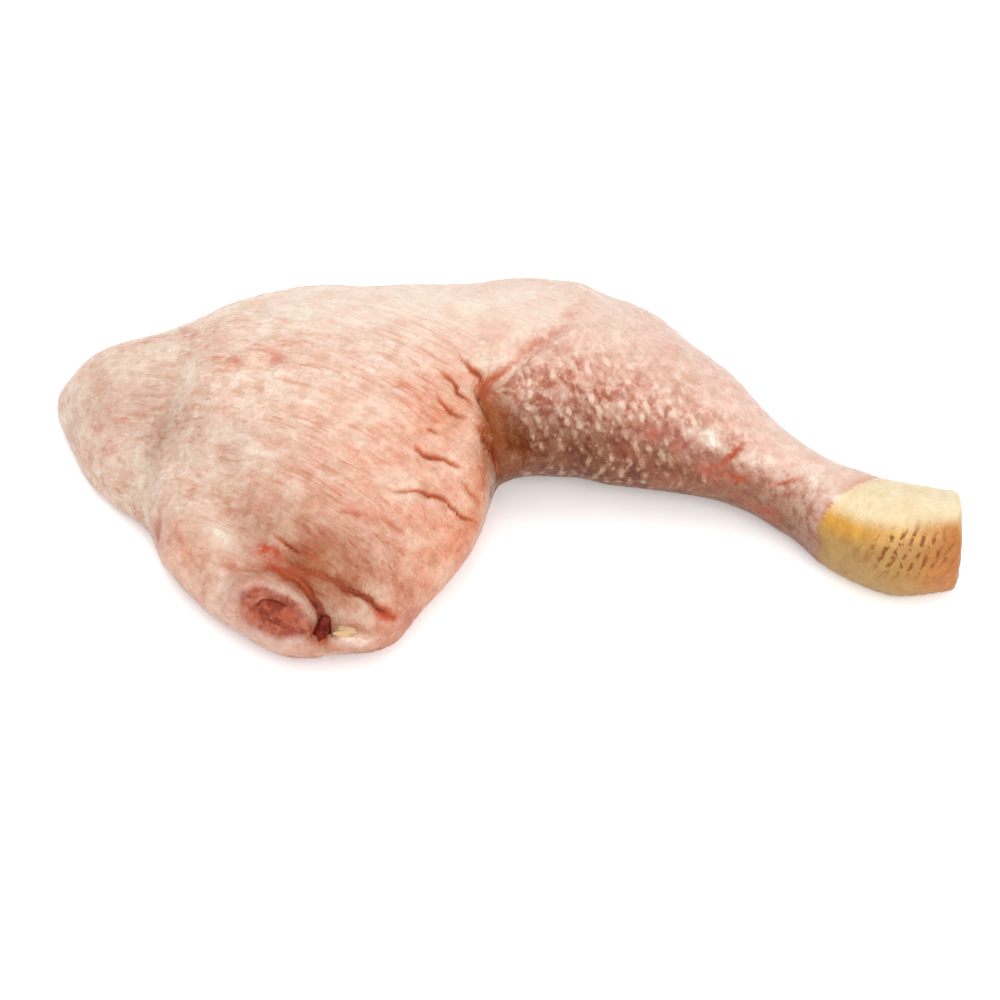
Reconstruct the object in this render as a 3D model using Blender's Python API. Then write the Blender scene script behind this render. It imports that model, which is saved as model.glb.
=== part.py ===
"""Raw chicken leg quarter: thigh and drumstick in one piece, skin side up, cut at the hock.

One closed solid. It is a loft along X between sections that differ all the way: the wide flat thigh
on the left, the knee, the round calf, the thin shank and the scaly hock stub on the right.
Lengths below are in millimetres and the model is built in metres, with +Z up and Z = 0 under the leg.
"""

import math
from typing import NamedTuple

import bpy
import numpy as np

NODE = "leg_quarter"
MM = 0.001

# Overall sizes
RUMP_X = -121.0
CUT_X = 124.0
RUMP_ROUND = 12.0
CUT_EDGE_ROUND = 2.0
CENTRE_X = 1.8
CENTRE_Y = -18.1

# Mesh fineness
ROWS_ALONG = 94
ROWS_IN_RUMP_ROUND = 7
ROWS_IN_CUT_EDGE = 3
POINTS_OVER = 38
POINTS_UNDER = 14
POINTS_MEASURED = 160
SOFTENINGS = 2
# Share of the rows passed by each X: the rows lie closer where the skin folds
ROW_SPREAD = ((0.0, RUMP_X + RUMP_ROUND), (0.13, -82.0), (0.45, -24.0), (0.65, 8.0), (1.0, CUT_X - CUT_EDGE_ROUND))

# The drumstick is round and stands a little clear of what the leg lies on; the thigh lies flat
THIGH_END_X = -25.0
CALF_START_X = 12.0
THIGH_WIDEST_SHARE = 0.33
CALF_WIDEST_SHARE = 0.50
THIGH_FRONT_POWER = 1.75
CALF_FRONT_POWER = 2.0
BACK_POWER = 2.1
THIGH_UNDER_POWER = 3.4
CALF_UNDER_POWER = 2.1
FLAT_DEPTH = 1.2
CALF_LIFT = 2.6
CALF_LIFT_FROM_X = 25.0
CALF_LIFT_TO_X = 96.0


class Section(NamedTuple):
    """One cross-section of the leg: where it is, its two edges, its crest and its height."""

    place: str
    x: float
    front: float
    crest: float
    back: float
    top: float


SECTIONS = (
    Section("rump tip", RUMP_X, -1.0, 10.0, 20.0, 16.0),
    Section("rump", -104.0, -20.0, 12.0, 28.5, 24.0),
    Section("pelvis", -88.0, -48.0, 12.0, 34.0, 30.0),
    Section("hip", -70.0, -71.0, 12.0, 41.0, 36.0),
    Section("hip joint", -50.0, -82.5, 12.0, 46.0, 40.0),
    Section("thigh", -33.0, -81.0, 13.0, 43.5, 42.0),
    Section("thigh edge", -18.0, -63.5, 14.0, 42.0, 43.0),
    Section("behind the knee", -5.0, -39.5, 14.0, 42.0, 43.5),
    Section("knee fold", 1.5, -21.0, 12.0, 42.5, 44.0),
    Section("knee", 8.0, -19.0, 11.0, 42.5, 44.5),
    Section("upper calf", 20.0, -19.0, 10.0, 40.5, 45.0),
    Section("calf", 40.0, -22.0, 5.0, 32.0, 41.0),
    Section("lower calf", 60.0, -24.0, -4.0, 15.0, 32.0),
    Section("shank", 78.0, -35.0, -20.0, -5.0, 25.5),
    Section("ankle", 92.0, -47.0, -32.5, -18.0, 26.0),
    Section("hock", 108.0, -56.0, -41.5, -27.0, 28.5),
    Section("cut", CUT_X, -52.5, -41.0, -29.0, 27.0),
)


class Bulge(NamedTuple):
    """A soft swelling, or a dip where its height is negative, on the upper side."""

    place: str
    centre: tuple
    radii: tuple
    turn: float
    height: float


class Fold(NamedTuple):
    """A groove in the skin, or a ridge where its depth is negative, along a smooth path."""

    place: str
    path: tuple
    width: float
    depths: tuple


BULGES = (
    Bulge("rump lobe", (-104.0, 6.0), (15.0, 12.0), 0.0, 2.0),
    Bulge("fat over the pelvis", (-81.0, -49.0), (13.0, 8.0), -42.0, 2.6),
    Bulge("fat beside the hip", (-70.0, -59.0), (10.0, 6.5), -42.0, 1.8),
    Bulge("thigh muscle", (-36.0, -12.0), (26.0, 20.0), -20.0, 1.2),
    Bulge("hollow in the hip end", (-59.0, -76.5), (7.5, 3.6), -22.0, -3.4),
    Bulge("gap beside the hip end", (-47.5, -81.0), (3.2, 5.5), 0.0, -4.0),
    Bulge("knob of fat", (-42.0, -81.5), (3.4, 3.0), 0.0, 2.2),
    Bulge("knee cap", (10.0, 24.0), (12.0, 11.0), 20.0, 1.2),
)

FOLDS = (
    Fold("rump valley", ((-86.0, 24.0), (-87.0, 6.0), (-91.0, -10.0), (-96.0, -24.0)), 8.0, (1.0, 2.4, 2.6, 0.8)),
    Fold(
        "hip valley",
        ((-78.0, -38.0), (-69.0, -50.0), (-61.0, -59.0), (-53.0, -69.0), (-47.5, -78.0), (-46.5, -85.0)),
        4.6,
        (0.6, 2.2, 3.4, 3.8, 4.0, 4.0),
    ),
    Fold(
        "rim of the hip end",
        ((-71.5, -70.0), (-68.0, -65.5), (-61.0, -66.5), (-54.5, -72.0), (-50.5, -78.0)),
        3.2,
        (-1.6, -2.8, -3.0, -2.4, -0.8),
    ),
    Fold("red fold", ((-46.0, -69.0), (-39.0, -71.5), (-33.0, -74.0), (-26.0, -76.0)), 2.6, (0.8, 2.0, 2.0, 0.8)),
    Fold(
        "crook of the knee",
        ((2.5, -27.0), (-0.5, -21.5), (-3.0, -18.0), (-6.0, -13.0), (-9.0, -7.0)),
        4.6,
        (4.2, 4.8, 4.2, 2.4, 0.6),
    ),
    Fold("knee line", ((-3.0, -16.0), (5.0, -5.0), (12.0, 2.0), (22.0, 12.0)), 2.4, (2.4, 1.5, 1.2, 0.4)),
    Fold("upper wrinkle", ((-19.0, -6.0), (-16.0, -13.0), (-11.0, -21.0)), 2.2, (0.6, 2.0, 1.2)),
    Fold("middle wrinkle", ((-26.0, -9.0), (-21.0, -16.0), (-15.0, -23.0)), 2.2, (0.4, 1.6, 0.8)),
    Fold("lower wrinkle", ((-27.0, -42.0), (-20.0, -44.0), (-13.0, -45.0), (-7.0, -42.0)), 2.2, (0.4, 1.6, 1.6, 1.0)),
    Fold("hind groove of the shank", ((66.0, -24.0), (78.0, -24.5), (88.0, -35.0)), 2.6, (0.3, 1.0, 0.4)),
)

# The face of the cut at the hock: how far out each ring lies, and how far it stands off the cut
CUT_RINGS = ((0.84, -0.9), (0.66, -0.6), (0.58, 0.5), (0.30, 0.8))


def smooth_step(value, start, end):
    """0 before start, 1 after end, and an even S between them."""
    share = np.clip((value - start) / (end - start), 0.0, 1.0)
    return share * share * (3.0 - 2.0 * share)


def through(positions, values, at):
    """A smooth curve through given values that never overshoots them (a monotone cubic)."""
    positions = np.asarray(positions, float)
    values = np.asarray(values, float)
    gaps = np.diff(positions)
    slopes = np.diff(values) / gaps
    tangents = np.concatenate([slopes[:1], np.zeros(len(slopes) - 1), slopes[-1:]])
    same_way = slopes[:-1] * slopes[1:] > 0.0
    before, after = slopes[:-1][same_way], slopes[1:][same_way]
    tangents[1:-1][same_way] = 2.0 * before * after / (before + after)
    span = np.clip(np.searchsorted(positions, at) - 1, 0, len(gaps) - 1)
    share = (at - positions[span]) / gaps[span]
    rise = share * share * (3.0 - 2.0 * share)
    leave = share * (1.0 - share) ** 2 * gaps[span] * tangents[span]
    arrive = share * share * (share - 1.0) * gaps[span] * tangents[span + 1]
    return values[span] * (1.0 - rise) + values[span + 1] * rise + leave + arrive


def stations():
    """X of every row of points: crowded at the round rump tip and at the edge of the cut."""
    turn = np.linspace(0.0, 0.5 * math.pi, ROWS_IN_RUMP_ROUND + 1)[1:]
    rump = RUMP_X + RUMP_ROUND * (1.0 - np.cos(turn))
    edge = CUT_X - CUT_EDGE_ROUND * np.cos(np.linspace(0.0, 0.5 * math.pi, ROWS_IN_CUT_EDGE + 1)[1:])
    shares, places = zip(*ROW_SPREAD)
    middle = through(shares, places, np.linspace(0.0, 1.0, ROWS_ALONG)[1:])
    return np.concatenate([rump, middle, edge])


def evenly(x, first, last, count):
    """Angles from first to last that put count points at equal steps along each section's outline."""
    angle = np.linspace(first, last, POINTS_MEASURED)
    outline = base_form(x, angle[None, :])
    steps = np.linalg.norm(np.diff(outline, axis=1), axis=-1)
    run = np.concatenate([np.zeros((len(x), 1)), np.cumsum(steps, axis=1)], axis=1)
    share = np.linspace(0.0, 1.0, count, endpoint=False)
    return np.stack([np.interp(share * length[-1], length, angle) for length in run])


def around(x):
    """The angle of every point round each section: front edge, crest, back edge, then underneath."""
    over = evenly(x, 0.0, math.pi, POINTS_OVER)
    under = evenly(x, math.pi, 2.0 * math.pi, POINTS_UNDER)
    return np.concatenate([over, under], axis=1)


def end_rounding(x):
    """How far the sections have shrunk towards their middles at the rump tip and the cut's edge."""
    into_rump = np.clip((RUMP_X + RUMP_ROUND - x) / RUMP_ROUND, 0.0, 1.0)
    into_cut = np.clip((x - CUT_X + CUT_EDGE_ROUND) / CUT_EDGE_ROUND, 0.0, 1.0)
    cut_shrink = CUT_EDGE_ROUND * (1.0 - np.sqrt(1.0 - into_cut**2))
    return np.sqrt(1.0 - into_rump**2), cut_shrink


def quarter(angle, power):
    """Cosine and sine bent so that the four quarters make a superellipse of that power."""
    cos, sin = np.cos(angle), np.sin(angle)
    return np.sign(cos) * np.abs(cos) ** (2.0 / power), np.sign(sin) * np.abs(sin) ** (2.0 / power)


def base_form(x, angle):
    """Points of the plain loft, before bulges and folds, in millimetres."""
    along = [s.x for s in SECTIONS]
    front = through(along, [s.front for s in SECTIONS], x)
    crest = through(along, [s.crest for s in SECTIONS], x)
    back = through(along, [s.back for s in SECTIONS], x)
    top = through(along, [s.top for s in SECTIONS], x)
    calf = smooth_step(x, THIGH_END_X, CALF_START_X)
    lift_share = np.clip((x - CALF_LIFT_FROM_X) / (CALF_LIFT_TO_X - CALF_LIFT_FROM_X), 0.0, 1.0)
    lowest = CALF_LIFT * np.sin(math.pi * lift_share) ** 2 - FLAT_DEPTH
    widest = top * (THIGH_WIDEST_SHARE + (CALF_WIDEST_SHARE - THIGH_WIDEST_SHARE) * calf)
    rump_share, cut_shrink = end_rounding(x)

    is_front, is_over = np.cos(angle) > 0.0, np.sin(angle) > 0.0
    front_power = THIGH_FRONT_POWER + (CALF_FRONT_POWER - THIGH_FRONT_POWER) * calf
    under_power = THIGH_UNDER_POWER + (CALF_UNDER_POWER - THIGH_UNDER_POWER) * calf
    power = np.where(is_over, np.where(is_front, front_power, BACK_POWER), under_power)
    cos, sin = quarter(angle, power)
    reach = np.where(is_front, crest - front, back - crest) * rump_share - cut_shrink
    height = np.where(is_over, top - widest, widest - lowest) * rump_share - cut_shrink
    y = crest - reach * cos
    z = widest + height * sin
    return np.stack([np.broadcast_to(x, y.shape), y, z], axis=-1)


def normals_of(points):
    """Outward directions on a grid of points, from the slopes along both ways."""
    along = np.gradient(points, axis=0)
    wrapped = np.concatenate([points[:, -1:], points, points[:, :1]], axis=1)
    round_section = np.gradient(wrapped, axis=1)[:, 1:-1]
    normals = np.cross(along, round_section)
    return normals / np.maximum(np.linalg.norm(normals, axis=-1, keepdims=True), 1e-9)


def bulge_height(bulge, x, y):
    """A rounded hill: its height times exp of minus the squared distance in radii."""
    turn = math.radians(bulge.turn)
    dx, dy = x - bulge.centre[0], y - bulge.centre[1]
    long_way = (dx * math.cos(turn) + dy * math.sin(turn)) / bulge.radii[0]
    short_way = (dy * math.cos(turn) - dx * math.sin(turn)) / bulge.radii[1]
    return bulge.height * np.exp(-(long_way**2) - short_way**2)


def fold_depth(fold, x, y):
    """A rounded trough round the nearest point of the path, with the depth given along it."""
    path = np.asarray(fold.path, float)
    knots = np.linspace(0.0, 1.0, len(path))
    fine = np.linspace(0.0, 1.0, 8 * len(path))
    line = np.stack([through(knots, path[:, 0], fine), through(knots, path[:, 1], fine)], axis=-1)
    away = np.hypot(x[..., None] - line[:, 0], y[..., None] - line[:, 1])
    nearest = away.argmin(axis=-1)
    depth = through(np.linspace(0.0, 1.0, len(fold.depths)), fold.depths, fine[nearest])
    return depth * np.exp(-((away.min(axis=-1) / fold.width) ** 2))


def softened(relief):
    """The relief blended with its neighbours on the grid, so that the coarse mesh can carry it."""
    rows = np.concatenate([relief[:1], relief, relief[-1:]])
    relief = 0.25 * rows[:-2] + 0.5 * rows[1:-1] + 0.25 * rows[2:]
    return 0.25 * np.roll(relief, 1, axis=1) + 0.5 * relief + 0.25 * np.roll(relief, -1, axis=1)


def leg_surface():
    """The rings of the leg's skin in millimetres, bulges and folds included."""
    x = stations()[:, None]
    points = base_form(x, around(x))
    relief = np.zeros(points.shape[:2])
    for bulge in BULGES:
        relief += bulge_height(bulge, points[..., 0], points[..., 1])
    for fold in FOLDS:
        relief -= fold_depth(fold, points[..., 0], points[..., 1])
    normals = normals_of(points)
    relief *= smooth_step(points[..., 2], 2.0, 9.0) * smooth_step(normals[..., 2], -0.3, 0.2)
    for _ in range(SOFTENINGS):
        relief = softened(relief)
    points = points + normals * relief[..., None]
    points[..., 2] = np.maximum(points[..., 2], 0.0)
    return points


def add_leg(collection):
    """Joins the rings into one closed mesh: a point at the rump tip and the rings of the cut's face."""
    rings = leg_surface()
    middle = rings[-1].mean(axis=0)
    for share, stand_off in CUT_RINGS:
        ring = middle + (rings[-1] - middle) * share
        ring[:, 0] += stand_off
        rings = np.concatenate([rings, ring[None]])
    tip = np.array([RUMP_X, rings[0, :, 1].mean(), rings[0, :, 2].mean()])
    cut_middle = rings[-1].mean(axis=0)
    points = np.concatenate([rings.reshape(-1, 3), [tip], [cut_middle]])
    points = (points - np.array([CENTRE_X, CENTRE_Y, 0.0])) * MM

    rows, count = rings.shape[:2]
    step = np.arange(count)
    onward = (step + 1) % count
    last, tip_index, middle_index = (rows - 1) * count, rows * count, rows * count + 1
    faces = []
    for row in range(rows - 1):
        here, ahead = row * count, (row + 1) * count
        faces += np.stack([here + step, ahead + step, ahead + onward, here + onward], 1).tolist()
    faces += np.stack([np.full(count, tip_index), step, onward], 1).tolist()
    faces += np.stack([np.full(count, middle_index), last + onward, last + step], 1).tolist()
    mesh = bpy.data.meshes.new(NODE)
    mesh.from_pydata(points.tolist(), [], faces)
    mesh.materials.append(raw_skin())
    mesh.shade_smooth()
    mesh.set_sharp_from_angle(angle=math.radians(50.0))
    leg = bpy.data.objects.new(NODE, mesh)
    collection.objects.link(leg)
    return leg


def raw_skin():
    """Moist pale pink skin."""
    material = bpy.data.materials.new("raw_skin")
    material.use_nodes = True
    shader = material.node_tree.nodes["Principled BSDF"]
    shader.inputs["Base Color"].default_value = (0.80, 0.52, 0.42, 1.0)
    shader.inputs["Roughness"].default_value = 0.45
    shader.inputs["Metallic"].default_value = 0.0
    return material


def main():
    """Clears the scene and builds the leg quarter."""
    for old in list(bpy.data.objects):
        bpy.data.objects.remove(old)
    collection = bpy.data.collections.new("chicken_leg_quarter")
    bpy.context.scene.collection.children.link(collection)
    add_leg(collection)


main()
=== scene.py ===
"""Looks of the raw chicken leg quarter: its skin, the cut hip end, the hock's cut and a pale studio.

Every form is worked out in millimetres in the leg's own plan and turned into metres in the frame at the end.
"""

from __future__ import annotations

import logging
import math
from dataclasses import dataclass, field
from enum import Enum
from itertools import product

import bpy
import numpy as np
from mathutils import Euler, Matrix, Vector
from numpy.typing import NDArray


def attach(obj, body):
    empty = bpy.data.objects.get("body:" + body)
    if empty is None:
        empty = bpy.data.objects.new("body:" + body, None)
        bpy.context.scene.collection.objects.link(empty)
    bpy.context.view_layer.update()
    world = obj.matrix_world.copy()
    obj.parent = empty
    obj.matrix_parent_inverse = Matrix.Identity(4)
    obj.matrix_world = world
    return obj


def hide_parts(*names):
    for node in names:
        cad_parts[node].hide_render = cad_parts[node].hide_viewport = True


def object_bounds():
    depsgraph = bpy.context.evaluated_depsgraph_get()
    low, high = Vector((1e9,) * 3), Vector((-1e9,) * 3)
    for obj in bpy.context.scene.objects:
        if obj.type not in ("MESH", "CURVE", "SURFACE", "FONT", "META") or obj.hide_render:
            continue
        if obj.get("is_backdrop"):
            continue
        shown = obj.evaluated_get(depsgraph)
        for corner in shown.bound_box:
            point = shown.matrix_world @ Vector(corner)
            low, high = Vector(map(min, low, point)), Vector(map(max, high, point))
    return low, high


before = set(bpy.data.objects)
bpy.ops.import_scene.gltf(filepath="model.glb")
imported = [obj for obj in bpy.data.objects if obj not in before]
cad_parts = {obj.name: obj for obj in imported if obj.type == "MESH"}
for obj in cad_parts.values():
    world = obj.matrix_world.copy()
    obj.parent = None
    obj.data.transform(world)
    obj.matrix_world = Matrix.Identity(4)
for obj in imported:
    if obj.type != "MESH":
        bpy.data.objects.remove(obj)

Array = NDArray[np.float64]
Path = tuple[tuple[float, float], ...]
Colour = tuple[float, float, float, float]
Socket = bpy.types.NodeSocket
Value = Socket | float
Material = bpy.types.Material
Piece = bpy.types.Object

BODY = "root"
NODE = "leg_quarter"
MM = 0.001
STUDIO_WHITE = 1.7
SHEEN = 0.017

log = logging.getLogger("leg_quarter")


class Slot(Enum):
    """The kinds of material of the leg's pieces."""

    SKIN = "raw_skin"
    MEAT = "raw_meat"
    FAT = "fat"
    GRISTLE = "gristle"


class Mask(Enum):
    """The values that the skin's mesh carries for its finish, from 0 to 1.

    Two differ: LINE reaches 1.5, and SIDE is the distance from the nearest line, in the line's widths, with
    a sign for its two sides.
    """

    DRUM = "drum"
    HOCK = "hock"
    # Painted shade in the creases.
    CREASE = "crease_shade"
    # Painted highlight on the dots' upper sides.
    CREST = "crest"
    # Painted shadow under the drumstick's dots, and the hock's own ticks.
    HOLLOW = "dot_shadow_and_ticks"
    LINE = "line"
    SIDE = "side"
    # Mostly painted shade in the crook and the gaps.
    BROWN = "brown"
    # Orange on the thigh's side walls and low near the hock's cut: partly the skin's own colour, partly
    # painted shade.
    GLOW = "orange_shade"
    CALM = "calm"
    BLUSH = "blush"
    # Painted highlights.
    CREAM = "cream"
    # Painted shade low on the slopes.
    WARM = "warm_shade"
    # Painted shade on drooping slopes and in valleys.
    SHADE = "shade"
    FLESH = "flesh"


def seen(red: float, green: float, blue: float) -> Colour:
    """Turns a colour as seen under the studio's light, 0 to 255, into the surface's own linear colour.

    The surface's sheen adds a little white, so that is taken off first. The light makes a white surface
    STUDIO_WHITE times as bright as the screen's white, so the rest is divided by that.

    Args:
        red: Red share.
        green: Green share.
        blue: Blue share.

    Returns:
        The linear colour with alpha 1.
    """
    shares = [value / 255.0 for value in (red, green, blue)]
    linear = [s / 12.92 if s <= 0.04045 else ((s + 0.055) / 1.055) ** 2.4 for s in shares]
    own = [max(share - SHEEN, 0.004) / STUDIO_WHITE for share in linear]
    return (own[0], own[1], own[2], 1.0)


def smooth_step(value: Array, start: float, end: float) -> Array:
    """An even S from 0 to 1: 3s^2 - 2s^3 of the share s of the way from start to end.

    Args:
        value: What is measured.
        start: Where the S leaves 0.
        end: Where the S reaches 1.

    Returns:
        The S at every value.
    """
    share = np.clip((value - start) / (end - start), 0.0, 1.0)
    return share * share * (3.0 - 2.0 * share)


@dataclass(frozen=True)
class Fade:
    """Two limits of a measure, between which something sets in."""

    start: float
    end: float

    def of(self, value: Array) -> Array:
        """The even S from 0 at the start to 1 at the end."""
        return smooth_step(value, self.start, self.end)


def through(positions: Array, values: Array, at: Array) -> Array:
    """A smooth curve through given values that never overshoots them: a monotone cubic.

    Its slope at each inner value is the harmonic mean of the slopes on either side, or 0 at a turn.

    Args:
        positions: Rising positions of the given values.
        values: The given values.
        at: Where the curve is read.

    Returns:
        The curve at every position read.
    """
    positions = np.asarray(positions, float)
    values = np.asarray(values, float)
    gaps = np.diff(positions)
    slopes = np.diff(values) / gaps
    tangents = np.concatenate([slopes[:1], np.zeros(len(slopes) - 1), slopes[-1:]])
    same_way = slopes[:-1] * slopes[1:] > 0.0
    before, after = slopes[:-1][same_way], slopes[1:][same_way]
    tangents[1:-1][same_way] = 2.0 * before * after / (before + after)
    span = np.clip(np.searchsorted(positions, at) - 1, 0, len(gaps) - 1)
    share = (at - positions[span]) / gaps[span]
    rise = share * share * (3.0 - 2.0 * share)
    leave = share * (1.0 - share) ** 2 * gaps[span] * tangents[span]
    arrive = share * share * (share - 1.0) * gaps[span] * tangents[span + 1]
    return values[span] * (1.0 - rise) + values[span + 1] * rise + leave + arrive


def held_within(values: Array, low: float, high: float, margin: float) -> Array:
    """Bends values that come near two limits so that they never reach them.

    Within the margin of a limit the overshoot grows by the hyperbolic tangent, in margins.

    Args:
        values: What is held.
        low: Lower limit.
        high: Upper limit.
        margin: How far before a limit the bend starts.

    Returns:
        The held values.
    """
    over = np.maximum(values - high + margin, 0.0)
    under = np.maximum(low + margin - values, 0.0)
    return values - over + margin * np.tanh(over / margin) + under - margin * np.tanh(under / margin)


def tint_between(seen_colour: Colour, base: Colour) -> Colour:
    """The tint that turns one colour into another when they are multiplied: their quotient."""
    return (seen_colour[0] / base[0], seen_colour[1] / base[1], seen_colour[2] / base[2], 1.0)


def unit(directions: Array) -> Array:
    """Directions divided by their length."""
    return directions / np.maximum(np.linalg.norm(directions, axis=-1, keepdims=True), 1e-9)


def normals_of(points: Array) -> Array:
    """Outward directions on a closed band of points: the cross product of the slopes along and around.

    Args:
        points: Rows of points, each row a closed ring.

    Returns:
        A unit direction for every point.
    """
    along = np.gradient(points, axis=0)
    wrapped = np.concatenate([points[:, -1:], points, points[:, :1]], axis=1)
    around = np.gradient(wrapped, axis=1)[:, 1:-1]
    return unit(np.cross(along, around))


def blurred(values: Array, times: int) -> Array:
    """Blends every value with its neighbours along and around, a quarter from each side.

    Args:
        values: Rows of values, each row a closed ring.
        times: How often the blend is repeated.

    Returns:
        The blended values.
    """
    for _ in range(times):
        rows = np.concatenate([values[:1], values, values[-1:]])
        values = 0.25 * rows[:-2] + 0.5 * rows[1:-1] + 0.25 * rows[2:]
        values = 0.25 * np.roll(values, 1, axis=1) + 0.5 * values + 0.25 * np.roll(values, -1, axis=1)
    return values


class Noise:
    """Smooth random hills: random values at the corners of a lattice, blended by an S between them."""

    SIZE = 32

    def __init__(self, seed: int) -> None:
        """Draws the lattice's values, from -1 to 1."""
        self.values = np.random.default_rng(seed).uniform(-1.0, 1.0, (self.SIZE,) * 3)

    def at(self, points: Array, scale: float | tuple[float, float, float]) -> Array:
        """Reads the hills.

        Args:
            points: Places, in millimetres.
            scale: Size of a lattice cell, in millimetres, one value or one for each axis.

        Returns:
            A value from -1 to 1 at every place.
        """
        cell = points / np.asarray(scale, float)
        corner = np.floor(cell).astype(int)
        share = cell - corner
        share = share * share * (3.0 - 2.0 * share)
        total = np.zeros(points.shape[:-1])
        for step in product((0, 1), repeat=3):
            index = (corner + step) % self.SIZE
            weight = np.prod(np.where(step, share, 1.0 - share), axis=-1)
            total += weight * self.values[index[..., 0], index[..., 1], index[..., 2]]
        return total

    def ridges(self, points: Array, scale: float | tuple[float, float, float]) -> Array:
        """Thin winding ridges where the hills cross 0: 1 less the hills' height without its sign."""
        return 1.0 - np.abs(self.at(points, scale))


@dataclass(frozen=True)
class Section:
    """One cross-section of the leg, in mm: where it is, its two edges, its crest and its height."""

    x: float
    front: float
    crest: float
    back: float
    top: float


@dataclass(frozen=True)
class Bulge:
    """A soft swelling, or a dip where its height is negative, in mm of the leg's plan."""

    centre: tuple[float, float]
    radii: tuple[float, float]
    turn: float
    height: float

    def relief(self, x: Array, y: Array) -> Array:
        """A rounded hill: its height times exp of minus the squared distance in radii.

        Args:
            x: Plan X.
            y: Plan Y.

        Returns:
            The hill's height at every place.
        """
        turn = math.radians(self.turn)
        dx, dy = x - self.centre[0], y - self.centre[1]
        long_way = (dx * math.cos(turn) + dy * math.sin(turn)) / self.radii[0]
        short_way = (dy * math.cos(turn) - dx * math.sin(turn)) / self.radii[1]
        return self.height * np.exp(-(long_way**2) - short_way**2)


@dataclass(frozen=True)
class Fold:
    """A groove in the skin, or a ridge where its depth is negative, along a smooth path in plan."""

    path: Path
    width: float
    depths: tuple[float, ...]

    def relief(self, x: Array, y: Array) -> Array:
        """A rounded trough: minus the depth times exp of minus the squared distance in widths.

        Args:
            x: Plan X.
            y: Plan Y.

        Returns:
            The trough's height at every place, negative for a groove.
        """
        away, _, depth = self.nearest(x, y)
        return -depth * np.exp(-((away / self.width) ** 2))

    def nearest(self, x: Array, y: Array) -> tuple[Array, Array, Array]:
        """Measures places against the path's nearest point.

        Args:
            x: Plan X.
            y: Plan Y.

        Returns:
            The distance, the distance square to the path with a sign for its two sides, and the depth.
        """
        path = np.asarray(self.path, float)
        knots = np.linspace(0.0, 1.0, len(path))
        fine = np.linspace(0.0, 1.0, 10 * len(path))
        line = np.stack([through(knots, path[:, 0], fine), through(knots, path[:, 1], fine)], axis=-1)
        distances = np.hypot(x[..., None] - line[:, 0], y[..., None] - line[:, 1])
        nearest = distances.argmin(axis=-1)
        heading = unit(np.gradient(line, axis=0))[nearest]
        dx, dy = x - line[nearest, 0], y - line[nearest, 1]
        depth = through(np.linspace(0.0, 1.0, len(self.depths)), self.depths, fine[nearest])
        return distances.min(axis=-1), heading[..., 0] * dy - heading[..., 1] * dx, depth


@dataclass(frozen=True)
class Dots:
    """Raised dots in staggered rows, each a little out of place, as feather follicles are."""

    pitch: float
    radius: float
    jitter: float
    seed: int
    stretch: float = 1.0
    size: int = 64

    def heights(self, along: Array, across: Array) -> Array:
        """The tallest dot near each place: strength times exp of minus the squared distance in radii.

        Each dot has a strength and a radius of its own, and is stretched round the leg.

        Args:
            along: Distance along the leg, in mm.
            across: Distance round the leg, in mm.

        Returns:
            Heights from 0 to 1.
        """
        draws = np.random.default_rng(self.seed).uniform(-1.0, 1.0, (self.size, self.size, 4))
        row_gap = self.pitch * math.sqrt(0.75)
        first_row = np.floor(across / row_gap).astype(int)
        best = np.zeros(along.shape)
        for row_step in (-1, 0, 1):
            row = first_row + row_step
            shift = 0.5 * (row % 2)
            first = np.floor(along / self.pitch - shift).astype(int)
            for step in (-1, 0, 1):
                column = first + step
                draw = draws[row % self.size, column % self.size]
                centre_along = (column + shift + 0.5 + self.jitter * draw[..., 0]) * self.pitch
                centre_across = (row + 0.5 + self.jitter * draw[..., 1]) * row_gap
                away = np.hypot(along - centre_along, (across - centre_across) / self.stretch)
                away /= self.radius * (1.0 + 0.3 * draw[..., 3])
                best = np.maximum(best, (0.65 + 0.35 * draw[..., 2]) * np.exp(-(away**2)))
        return best


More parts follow.
